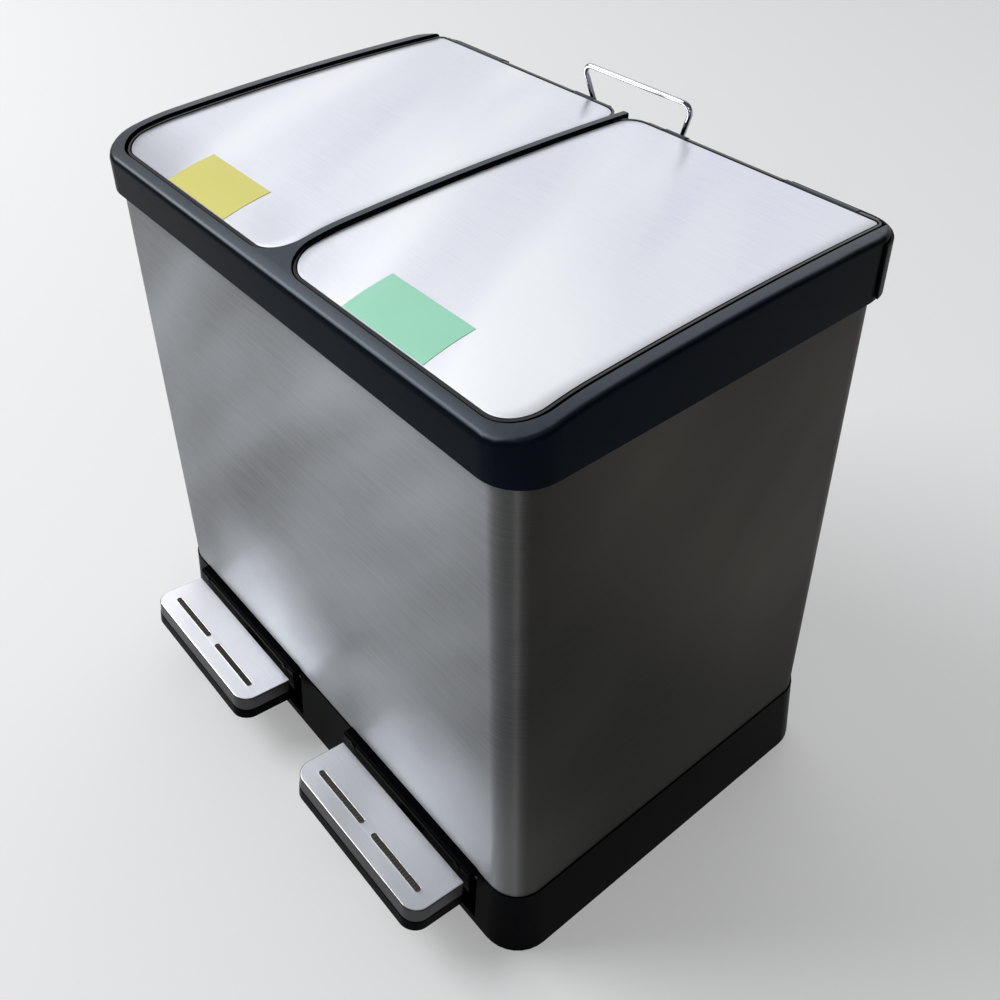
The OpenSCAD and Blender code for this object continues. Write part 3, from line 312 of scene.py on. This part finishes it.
# Painted reflection: lighter brown-grey spots on the upper part of the darkened right side.
side_spots = (
    (0.25, -0.05, 0.42), (0.25, 0.02, 0.34), (0.25, 0.08, 0.27),
    (0.25, 0.14, 0.21), (0.25, 0.12, 0.40))
painted_reflection_spots(body_steel, side_spots, reach=0.14, bright=(0.10, 0.092, 0.08))
print("steel finishes:", body_steel.name, lid_steel.name, pedal_steel.name)

# %% [markdown]
# The moulded parts are black, but never quite black: a fine sparked texture in the mould breaks
# the gloss, and slow waves in the wall make the highlight wander. Hands polish the faces that look
# up. Rubber is duller and softer. The colour films are plastic too.

# %% Moulded plastic, rubber and film
sparks, slow_waves = 2600, 9  # how often each repeats in a metre
wave = 0.04


def moulded(name, dark, light, roughness, texture_height=0.00002, gloss=0.5):
    material, tree, shader = blank_finish(name, light, roughness)
    shader.inputs["Specular IOR Level"].default_value = gloss
    fine = stretched_noise(tree, sparks)
    slow = stretched_noise(tree, slow_waves)
    color = mix_colors(tree, between(tree, slow, 0, 1), dark, light)
    rough = between(tree, slow, roughness - wave, roughness + wave)
    tree.links.new(color, shader.inputs["Base Color"])
    tree.links.new(rough, shader.inputs["Roughness"])
    bump(tree, shader, fine, texture_height, 0.5)
    return material


def polished_top(material, low, high):
    """More gloss on the faces that look up, where hands have polished the mould's texture away."""
    tree = material.node_tree
    gloss = by_normal(tree, "Z", 0.6, 0.97, low, high)
    tree.links.new(gloss, tree.nodes["Principled BSDF"].inputs["Specular IOR Level"])


rim_black = moulded("rim_black", (0.002, 0.004, 0.007), (0.0034, 0.0062, 0.011), 0.34)
frame_black = moulded("frame_black", (0.002, 0.003, 0.005), (0.004, 0.005, 0.008), 0.18)
base_black = moulded(
    "base_black", (0.0009, 0.001, 0.0016), (0.0017, 0.0018, 0.0027), 0.3, gloss=0.012)
plain_black = moulded(
    "plain_black", (0.004, 0.004, 0.005), (0.008, 0.008, 0.01), 0.5, gloss=0.08)
bucket_grey = moulded("bucket_grey", (0.10, 0.105, 0.11), (0.13, 0.135, 0.14), 0.5)
pad_rubber = moulded("pad_rubber", (0.012, 0.012, 0.012), (0.02, 0.02, 0.02), 0.75, 0.00004)
grip_rubber = moulded("grip_rubber", (0.06, 0.052, 0.044), (0.11, 0.098, 0.085), 0.8, 0.00006)
yellow_film = moulded("yellow_film", (0.85, 0.78, 0.18), (0.93, 0.87, 0.26), 0.42, 0.00001)
green_film = moulded("green_film", (0.37, 0.84, 0.59), (0.45, 0.92, 0.69), 0.42, 0.00001)
polished_top(rim_black, 0.02, 0.8)
polished_top(frame_black, 0.12, 0.6)
rim_tint = (0.72, 0.84, 1.0, 1)
rim_black.node_tree.nodes["Principled BSDF"].inputs["Specular Tint"].default_value = rim_tint
print("moulded finishes ready")

# %% [markdown]
# The carry handle is polished round wire, so it is nearly a mirror. Levers, rods, pins and screws
# are zinc plated: the plating has a faint mottle and no grain.

# %% Wire and plating
def bright_metal(name, dark, light, roughness, mottle):
    material, tree, shader = blank_finish(name, light, roughness, 1.0)
    patches = stretched_noise(tree, mottle, even, 3.0)
    color = mix_colors(tree, between(tree, patches, 0, 1), dark, light)
    rough = between(tree, patches, roughness * 0.8, roughness * 1.25)
    tree.links.new(color, shader.inputs["Base Color"])
    tree.links.new(rough, shader.inputs["Roughness"])
    bump(tree, shader, patches, 0.00001, 0.3)
    return material

polished_wire = bright_metal("polished_wire", (0.42, 0.44, 0.48), (0.56, 0.58, 0.63), 0.05, 60)
zinc = bright_metal("zinc", (0.45, 0.45, 0.46), (0.62, 0.62, 0.64), 0.36, 260)
print("metal finishes ready")

# %% [markdown]
# Most solids of the frame only need softer edges. A glTF mesh comes in with split corners, so a
# weld joins them first. A bevel then rounds the sharp edges by a fraction of a millimetre, an edge
# split keeps the remaining creases crisp, and weighted normals keep the flats flat.

# %% Softer edges for the solids
weld_reach = 0.000002
solid_crease = math.radians(38)
sides = (("left", -1), ("right", 1))


def dress(node, material, edge=0.0004):
    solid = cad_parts[node]
    solid.data.materials.clear()
    solid.data.materials.append(material)
    solid.data.polygons.foreach_set("use_smooth", [True] * len(solid.data.polygons))
    weld = solid.modifiers.new("weld", "WELD")
    weld.merge_threshold = weld_reach
    if edge:
        soften = solid.modifiers.new("soften", "BEVEL")
        soften.width = edge
        soften.segments = 2
        soften.limit_method = "ANGLE"
        soften.angle_limit = solid_crease
        soften.use_clamp_overlap = True
    split = solid.modifiers.new("split", "EDGE_SPLIT")
    split.split_angle = solid_crease
    flats = solid.modifiers.new("flats", "WEIGHTED_NORMAL")
    flats.keep_sharp = True


dress("top_rim", rim_black)
dress("base_skirt", base_black, 0.0005)
for node in ("floor_pan", "bucket_deck", "rear_cover", "handle_brackets"):
    dress(node, plain_black)
for side, _ in sides:
    dress(side + "_lid_frame", frame_black)
    dress(side + "_rod_guides", plain_black)
    dress(side + "_pedal_tray", base_black, 0.0008)
    dress(side + "_pedal_grip", grip_rubber, 0)
    dress(side + "_bucket", bucket_grey, 0.0006)
    for node in (
            "pedal_lever", "pedal_axle", "pedal_screws", "push_rod", "lid_crank",
            "crank_screws", "hinge_pin"):
        dress(side + "_" + node, zinc, 0.0002)
for node in ("base_screws", "cover_screws", "bracket_screws", "guide_rivets", "axle_clips"):
    dress(node, zinc, 0.0002)
for node in ("rubber_feet", "lid_bumpers"):
    dress(node, pad_rubber, 0.0003)
print("dressed solids:", sum(1 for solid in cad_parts.values() if solid.modifiers))

# %% [markdown]
# The shells that mirror the room are built as our own meshes. Each is a stack of rings with the
# same number of points, and a helper stitches neighbouring rings with four-sided faces. The rings
# follow the rounded rectangle of the body, so a second helper makes that outline at any size.

# %% Rings and outlines
mm = 0.001
mesh_crease = math.radians(50)


def rounded_outline(x0, x1, y0, y1, radii, arc_steps, side_steps):
    """Points of a rounded rectangle, from the front left corner anticlockwise; radii as front left,
    front right, rear right, rear left."""
    corners = [
        (x0 + radii[0], y0 + radii[0], radii[0], 180),
        (x1 - radii[1], y0 + radii[1], radii[1], 270),
        (x1 - radii[2], y1 - radii[2], radii[2], 0),
        (x0 + radii[3], y1 - radii[3], radii[3], 90),
    ]
    points = []
    for number, (cx, cy, r, start) in enumerate(corners):
        for step in range(arc_steps + 1):
            angle = math.radians(start + 90 * step / arc_steps)
            points.append((cx + r * math.cos(angle), cy + r * math.sin(angle)))
        next_cx, next_cy, next_r, next_start = corners[(number + 1) % 4]
        angle = math.radians(next_start)
        goal_x, goal_y = next_cx + next_r * math.cos(angle), next_cy + next_r * math.sin(angle)
        x, y = points[-1]
        for step in range(1, side_steps):
            share = step / side_steps
            points.append((x + (goal_x - x) * share, y + (goal_y - y) * share))
    return points


def level_ring(outline, z):
    return [Vector((x, y, z)) for x, y in outline]


def stitch(rings, first=0):
    """Four-sided faces between each ring and the next; first is the number of the first point."""
    count = len(rings[0])
    faces = []
    for ring in range(len(rings) - 1):
        for i in range(count):
            a, b = first + ring * count + i, first + ring * count + (i + 1) % count
            faces.append((a, b, b + count, a + count))
    return faces


def facing_up(quad, sign):
    """Points of the left side are a mirror image, so its faces are wound the other way."""
    return quad if sign > 0 else quad[::-1]


def piece(name, points, faces, material, body, node):
    mesh = bpy.data.meshes.new(name)
    mesh.from_pydata([tuple(p) for p in points], [], faces)
    mesh.validate()
    mesh.shade_smooth()
    mesh.set_sharp_from_angle(angle=mesh_crease)
    mesh.materials.append(material)
    made = bpy.data.objects.new(name, mesh)
    bpy.context.scene.collection.objects.link(made)
    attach(made, body)
    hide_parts(node)
    return made

print("mesh helpers ready")

# %% [markdown]
# The steel sleeve is one sheet wrapped round four corners and joined at the back. We make it as a
# thin wall: up the outside, over the edge and down the inside, with many points in each corner,
# because the bright line down the near corner shows any facet.

# %% Steel sleeve
body_w, body_d, corner_r, sheet_t = 500 * mm, 333 * mm, 26 * mm, 0.8 * mm
sleeve_low, sleeve_high = 50 * mm, 488 * mm


def body_outline(grow):
    x, y = body_w / 2 + grow, body_d / 2 + grow
    return rounded_outline(-x, x, -y, y, (corner_r + grow,) * 4, 24, 12)


outer, inner = 0, -sheet_t
sleeve_rings = []
for grow, z in (
        (inner, sleeve_low), (outer, sleeve_low), (outer, sleeve_high),
        (inner, sleeve_high), (inner, sleeve_low)):
    sleeve_rings.append(level_ring(body_outline(grow), z))
points = [p for ring in sleeve_rings for p in ring]
faces = stitch(sleeve_rings)
piece("steel_sleeve", points, faces, body_steel, "body", "steel_body")
print("steel sleeve:", len(points), "points")

# %% [markdown]
# The top of the bin is arched: a long shallow arch over the lids that meets a tighter roll at the
# front. Every piece on top follows the same two circles, so one function gives the height of the
# arch at any depth.

# %% The arch
crown_y, crown_z, crown_r = 70 * mm, 514 * mm, 3000 * mm
roll_y, roll_r = -105 * mm, 222 * mm
roll_tilt = math.asin((roll_y - crown_y) / crown_r)
roll_centre_y = crown_y + (crown_r - roll_r) * math.sin(roll_tilt)
roll_centre_z = crown_z - crown_r + (crown_r - roll_r) * math.cos(roll_tilt)


def arch(y):
    if y < roll_y:
        return roll_centre_z + math.sqrt(roll_r ** 2 - (y - roll_centre_y) ** 2)
    return crown_z - crown_r + math.sqrt(crown_r ** 2 - (y - crown_y) ** 2)

print("arch at front, middle, rear:", [round(arch(y * mm), 4) for y in (-160, 0, 165)])

# %% [markdown]
# A lid panel is a thin arched sheet with rounded corners, pressed into the black frame. It curves
# only from front to back, so we lay it out in rows: each row is straight from side to side, and
# its ends follow the rounded outline. Its edge turns down into the groove of the frame.

# %% Lid panels
lid_in_x, lid_out_x = 3.3 * mm, 241.4 * mm
lid_front, lid_rear = -160.7 * mm, 165 * mm
edge = 3 * mm
lid_radii = (24 * mm, 24 * mm, 4 * mm, 16 * mm)
panel_drop = 2.35 * mm
turned_down = ((0.12, 0.06), (0.18, 0.2), (0.18, 0.8))  # mm out from the edge, and mm down


def row_ends(y, x0, x1, y0, y1, radii):
    def pulled_in(front_r, rear_r):
        if y < y0 + front_r:
            return front_r - math.sqrt(max(front_r ** 2 - (y0 + front_r - y) ** 2, 0))
        if y > y1 - rear_r:
            return rear_r - math.sqrt(max(rear_r ** 2 - (y - y1 + rear_r) ** 2, 0))
        return 0
    return x0 + pulled_in(radii[0], radii[3]), x1 - pulled_in(radii[1], radii[2])


def row_places(y0, y1, front_r, rear_r, middle_steps=44, arc_steps=12):
    """Where the rows lie: close together in the corners, evenly spread between them."""
    angles = [math.pi / 2 * i / arc_steps for i in range(arc_steps + 1)]
    straight = y1 - rear_r - y0 - front_r
    places = [y0 + front_r * (1 - math.cos(angle)) for angle in angles[:-1]]
    places += [y0 + front_r + straight * i / middle_steps for i in range(middle_steps)]
    places += [y1 - rear_r + rear_r * math.sin(angle) for angle in angles]
    return places


def lid_panel(side, sign):
    x0, x1, y0, y1 = lid_in_x + edge, lid_out_x - edge, lid_front + edge, lid_rear - edge
    rows, columns = row_places(y0, y1, lid_radii[0], lid_radii[3]), 24
    points, faces = [], []
    for y in rows:
        row_start, row_end = row_ends(y, x0, x1, y0, y1, lid_radii)
        for column in range(columns + 1):
            x = row_start + (row_end - row_start) * column / columns
            points.append(Vector((sign * x, y, arch(y) - panel_drop)))
    wide = columns + 1
    for row in range(len(rows) - 1):
        for column in range(columns):
            a = row * wide + column
            faces.append(facing_up((a, a + 1, a + wide + 1, a + wide), sign))
    border = list(range(wide))
    border += [row * wide + columns for row in range(1, len(rows))]
    border += [(len(rows) - 1) * wide + column for column in range(columns - 1, -1, -1)]
    border += [row * wide for row in range(len(rows) - 2, 0, -1)]
    count = len(border)
    middle = Vector((sign * (x0 + x1) / 2, (y0 + y1) / 2, 0))
    previous = border
    for out, down in turned_down:
        ring = list(range(len(points), len(points) + count))
        for i in border:
            p = points[i]
            away_x = math.copysign(out * mm, p.x - middle.x)
            away_y = math.copysign(out * mm, p.y - middle.y)
            points.append(Vector((p.x + away_x, p.y + away_y, arch(p.y) - panel_drop - down * mm)))
        for i in range(count):
            ahead = (i + 1) % count
            faces.append(facing_up((previous[i], ring[i], ring[ahead], previous[ahead]), sign))
        previous = ring
    name = side + "_panel_sheet"
    return piece(name, points, faces, lid_steel, side + "_lid", side + "_lid_panel")


for side, sign in sides:
    sheet = lid_panel(side, sign)
    print(sheet.name, len(sheet.data.vertices), "points")

# %% [markdown]
# Each lid carries a plain colour film at its front edge, yellow on the left and green on the
# right, to show which waste goes where. The film is a quarter of a millimetre thick and lies on
# the arch, so it is a small grid that follows the arch and turns down at its border.

# %% Colour films
label_w, label_d, label_t, label_x = 83.5 * mm, 39.4 * mm, 0.25 * mm, 116.4 * mm
glue_t = 0.02 * mm


def colour_film(side, sign, material):
    x0, y0 = label_x - label_w / 2, lid_front + edge
    columns, rows = 16, 24
    points, faces = [], []
    for row in range(-1, rows + 2):
        for column in range(-1, columns + 2):
            at_row, at_column = min(max(row, 0), rows), min(max(column, 0), columns)
            on_border = row != at_row or column != at_column
            x = x0 + label_w * at_column / columns
            y = y0 + label_d * at_row / rows
            lift = 0 if on_border else label_t
            points.append(Vector((sign * x, y, arch(y) - panel_drop + lift + glue_t)))
    wide = columns + 3
    for row in range(rows + 2):
        for column in range(columns + 2):
            a = row * wide + column
            faces.append(facing_up((a, a + 1, a + wide + 1, a + wide), sign))
    piece(side + "_colour_film", points, faces, material, side + "_lid", side + "_lid_label")


colour_film("left", -1, yellow_film)
colour_film("right", 1, green_film)
print("films laid on both lids")

# %% [markdown]
# A pedal cover is pressed from steel sheet: a flat top with two long slots, a small radius all
# round and a short wall. It tips up towards the front by seven degrees at rest. We draw it level in
# its own place and then tip it, which is easier than drawing it tipped. The flat top has holes, so
# it is cut into triangles by a helper that allows them, and the rings round it do the rest.

# %% Pedal covers
pedal_x, pedal_rear, pedal_top = 124.5 * mm, 178.2 * mm, 57 * mm
pedal_w, pedal_d, pedal_r, pedal_round = 164.4 * mm, 48 * mm, 14 * mm, 1.2 * mm
cover_h, cover_t, pedal_tip = 13 * mm, 1 * mm, math.radians(7)
slot_l, slot_w, slot_x, slot_y = 61 * mm, 5 * mm, 37 * mm, 31 * mm
slot_lip = ((0.55, 0), (0.3, 0.12), (0.05, 0), (0, -0.2), (0, -1))  # mm out of the slot, and mm up
least_front_r, least_rear_r = 0.4 * mm, 0.2 * mm
cover_wall = (  # how far in and how high each ring of the wall lies, down outside and up inside
    (0, -cover_h + 0.3 * mm), (0.25 * mm, -cover_h), (cover_t, -cover_h), (cover_t, -cover_t))
merge_reach = 0.000005


def pedal_outline(inset):
    front_r, rear_r = max(pedal_r - inset, least_front_r), max(cover_t - inset, least_rear_r)
    half = pedal_w / 2 - inset
    radii = (front_r, front_r, rear_r, rear_r)
    return rounded_outline(-half, half, -pedal_d + inset, 0, radii, 12, 6)


def slot_outline(middle, grow, steps=12):
    r = slot_w / 2 + grow
    reach = (slot_l - slot_w) / 2
    points = []
    for centre, start in ((reach, -90), (-reach, 90)):
        for step in range(steps + 1):
            angle = math.radians(start + 180 * step / steps)
            points.append((middle + centre + r * math.cos(angle), -slot_y + r * math.sin(angle)))
    return points


def pedal_cover(side, sign, round_steps=6):
    points, faces = [], []
    flat_loops = [level_ring(pedal_outline(pedal_round), 0)]
    for middle in (-slot_x, slot_x):
        flat_loops.append(level_ring(slot_outline(middle, slot_lip[0][0] * mm), 0)[::-1])
    for loop in flat_loops:
        points += loop
    for triangle in tessellate_polygon(flat_loops):
        a, b, c = (points[i] for i in triangle)
        upward = (b - a).cross(c - a).z > 0
        faces.append(tuple(triangle) if upward else tuple(triangle[::-1]))
    rings = []
    for step in range(round_steps + 1):
        angle = math.pi / 2 * step / round_steps
        inset, drop = pedal_round * (1 - math.sin(angle)), pedal_round * (1 - math.cos(angle))
        rings.append(level_ring(pedal_outline(inset), -drop))
    rings += [level_ring(pedal_outline(inset), z) for inset, z in cover_wall]
    first = len(points)
    points += [p for ring in rings for p in ring]
    faces += [quad[::-1] for quad in stitch(rings, first)]
    for middle in (-slot_x, slot_x):
        rings = [level_ring(slot_outline(middle, grow * mm), z * mm) for grow, z in slot_lip]
        first = len(points)
        points += [p for ring in rings for p in ring]
        faces += stitch(rings, first)
    place = Matrix.Translation(Vector((sign * pedal_x, -pedal_rear, pedal_top)))
    tip = place @ Matrix.Rotation(-pedal_tip, 4, "X")
    points = [tip @ p for p in points]
    name, body, node = side + "_pedal_shell", side + "_pedal", side + "_pedal_cover"
    cover = piece(name, points, faces, pedal_steel, body, node)
    merge = cover.modifiers.new("merge", "WELD")
    merge.merge_threshold = merge_reach
    flats = cover.modifiers.new("flats", "WEIGHTED_NORMAL")
    flats.keep_sharp = True
    flats.weight = 100
    return cover


for side, sign in sides:
    cover = pedal_cover(side, sign)
    print(cover.name, len(cover.data.vertices), "points")

# %% [markdown]
# The carry handle is one length of round wire, bent four times: two feet go into the brackets,
# two legs spread upwards, and the grip runs across the top. It leans forward and rests there. We
# lay out the path with true arcs for the bends and sweep a circle along it.

# %% Carry handle
wire_r, wire_sides = 2.25 * mm, 20
handle_y, handle_z, handle_lean = 178.05 * mm, 482 * mm, math.radians(6)
foot_in, foot_x, grip_x, handle_h = 26 * mm, 41 * mm, 60.3 * mm, 52 * mm
foot_bend, grip_bend = 5 * mm, 7 * mm


def bent_path(corners, radii, steps=12):
    path = [Vector(corners[0])]
    for i in range(1, len(corners) - 1):
        before, here, after = (Vector(corners[j]) for j in (i - 1, i, i + 1))
        come, go = (here - before).normalized(), (after - here).normalized()
        angle = come.angle(go)
        cut = radii[i] * math.tan(angle / 2)
        left_turn = math.copysign(1, come.x * go.y - come.y * go.x)
        inward = Vector((-come.y, come.x)) * left_turn
        centre = here - come * cut + inward * radii[i]
        for step in range(steps + 1):
            part = angle * step / steps
            outward, along = -inward * radii[i] * math.cos(part), come * radii[i] * math.sin(part)
            path.append(centre + outward + along)
    path.append(Vector(corners[-1]))
    return path


path = bent_path(
    [(-foot_in, 0), (-foot_x, 0), (-grip_x, handle_h),
     (grip_x, handle_h), (foot_x, 0), (foot_in, 0)],
    [0, foot_bend, grip_bend, grip_bend, foot_bend, 0],
)
handle_place = Matrix.Translation(Vector((0, handle_y, handle_z)))
lean = handle_place @ Matrix.Rotation(handle_lean, 4, "X")
rings = []
for i, here in enumerate(path):
    ahead = path[min(i + 1, len(path) - 1)] - path[max(i - 1, 0)]
    across = Vector((-ahead.y, ahead.x)).normalized()
    ring = []
    for step in range(wire_sides):
        angle = 2 * math.pi * step / wire_sides
        reach = across * wire_r * math.cos(angle)
        ring.append(lean @ Vector((here.x + reach.x, wire_r * math.sin(angle), here.y + reach.y)))
    rings.append(ring)
points = [p for ring in rings for p in ring]
start_cap = tuple(range(wire_sides))
end_cap = tuple(range(len(points) - 1, len(points) - 1 - wire_sides, -1))
faces = [start_cap] + stitch(rings) + [end_cap]
piece("wire_handle", points, faces, polished_wire, "handle", "carry_handle")
print("wire length mm:", round(sum((b - a).length for a, b in zip(path, path[1:])) / mm))

# %% [markdown]
# The bin stands on a plain pale floor that reaches past the edge of the picture and takes the bin's
# shadow. The camera sees a part of the floor as white of its own, and so do rays that come off the
# steel or pass through something, so the floor looks the same in a mirror as it does to the eye.

# %% Floor
floor_half = 9.0
floor_low = -0.0003
white_share = 0.28
floor_mesh = bpy.data.meshes.new("floor")
floor_mesh.from_pydata(
    [(x * floor_half, y * floor_half, floor_low) for x, y in ((-1, -1), (1, -1), (1, 1), (-1, 1))],
    [], [(0, 1, 2, 3)],
)
floor = bpy.data.objects.new("floor", floor_mesh)
bpy.context.scene.collection.objects.link(floor)
floor_paint, floor_tree, floor_shader = blank_finish("floor_paint", (0.97, 0.97, 0.97), 0.9)
floor_shader.inputs["Specular IOR Level"].default_value = 0.1
white = floor_tree.nodes.new("ShaderNodeEmission")
white.inputs["Strength"].default_value = 1.0
ray = floor_tree.nodes.new("ShaderNodeLightPath")
seen = ray.outputs["Is Camera Ray"]
for kind in ("Is Glossy Ray", "Is Transmission Ray"):
    seen = combine(floor_tree, "MAXIMUM", seen, ray.outputs[kind])
blend = floor_tree.nodes.new("ShaderNodeMixShader")
floor_tree.links.new(combine(floor_tree, "MULTIPLY", seen, white_share), blend.inputs["Fac"])
floor_tree.links.new(floor_shader.outputs["BSDF"], blend.inputs[1])
floor_tree.links.new(white.outputs["Emission"], blend.inputs[2])
floor_tree.links.new(blend.outputs["Shader"], floor_tree.nodes["Material Output"].inputs["Surface"])
floor_mesh.materials.append(floor_paint)
floor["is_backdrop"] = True
print("floor laid, part white:", white_share)

# %% [markdown]
# One large soft lamp stands at the front left, a little lower than halfway up the sky, so the
# shadow falls to the right and the back, and the right side of the bin mirrors that shadow and
# turns dark, helped by shade painted on that side. A tall thin lamp at the near corner draws the
# bright line down the rounded edge.

# %% Lamps
def soft_lamp(name, place, aim, size, power, color):
    data = bpy.data.lights.new(name, "AREA")
    data.shape = "RECTANGLE"
    data.size, data.size_y = size
    data.energy = power
    data.color = color
    lamp = bpy.data.objects.new(name, data)
    bpy.context.scene.collection.objects.link(lamp)
    lamp.location = place
    lamp.rotation_euler = (Vector(aim) - Vector(place)).to_track_quat("-Z", "Y").to_euler()
    lamp.visible_camera = False


soft_lamp(
    "front_left_lamp", place=(-3.32, -2.41, 3.44), aim=(0, 0, 0.2),
    size=(3.2, 2.8), power=200, color=(0.97, 0.99, 1.0))
soft_lamp(
    "corner_lamp", place=(0.86, -0.8, 0.62), aim=(0.25, -0.166, 0.4),
    size=(0.02, 1.2), power=1.6, color=(1.0, 0.99, 0.97))

# %% [markdown]
# The sky is a soft slope of grey with slow clouds: bright towards the back left, which the arched
# lids mirror, and dim towards the front right, so that the wire and the corners have something dark
# to mirror too. A pale haze along the horizon joins the sky to the floor when the eye is low.

# %% Sky
bright_side = Vector((-0.609, 0.548, 0.574))
dim, bright = 0.12, 1.06
slope_start, slope_end = 0.6, 1.0
thin_cloud, thick_cloud = 0.72, 1.2
haze_strength, haze_low, haze_high = 0.5, 0.05, 0.22
sky = bpy.data.worlds.new("sky")
bpy.context.scene.world = sky
sky.use_nodes = True
sky_tree = sky.node_tree
shade = sky_tree.nodes["Background"]
shade.inputs["Color"].default_value = (0.97, 0.98, 1.0, 1)
where = sky_tree.nodes.new("ShaderNodeTexCoord")
facing = sky_tree.nodes.new("ShaderNodeVectorMath")
facing.operation = "DOT_PRODUCT"
facing.inputs[1].default_value = bright_side.normalized()
cloud = sky_tree.nodes.new("ShaderNodeTexNoise")
cloud.inputs["Scale"].default_value = 3.2
cloud.inputs["Detail"].default_value = 1.0
height = sky_tree.nodes.new("ShaderNodeSeparateXYZ")
for socket in (facing.inputs[0], cloud.inputs["Vector"], height.inputs["Vector"]):
    sky_tree.links.new(where.outputs["Generated"], socket)
towards = facing.outputs["Value"]
slope = ramp(sky_tree, towards, slope_start, slope_end, dim, bright, smooth=True)
clouds = between(sky_tree, cloud.outputs["Fac"], thin_cloud, thick_cloud)
haze = ramp(sky_tree, height.outputs["Z"], haze_low, haze_high, haze_strength, 0, smooth=True)
strength = combine(sky_tree, "MAXIMUM", haze, combine(sky_tree, "MULTIPLY", clouds, slope))
sky_tree.links.new(strength, shade.inputs["Strength"])
print("sky slopes towards", [round(v, 2) for v in bright_side])

# %% [markdown]
# The view transform stays plain, so that a colour comes out as it was written. The last lines
# measure the dressed bin against the CAD model.

# %% Measure and finish
bpy.context.scene.view_settings.view_transform = "Standard"
low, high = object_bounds()
below = [round((a - b) / mm, 2) for a, b in zip(cad_low, low)]
above = [round((b - a) / mm, 2) for a, b in zip(cad_high, high)]
print("grown by mm:", below, above)
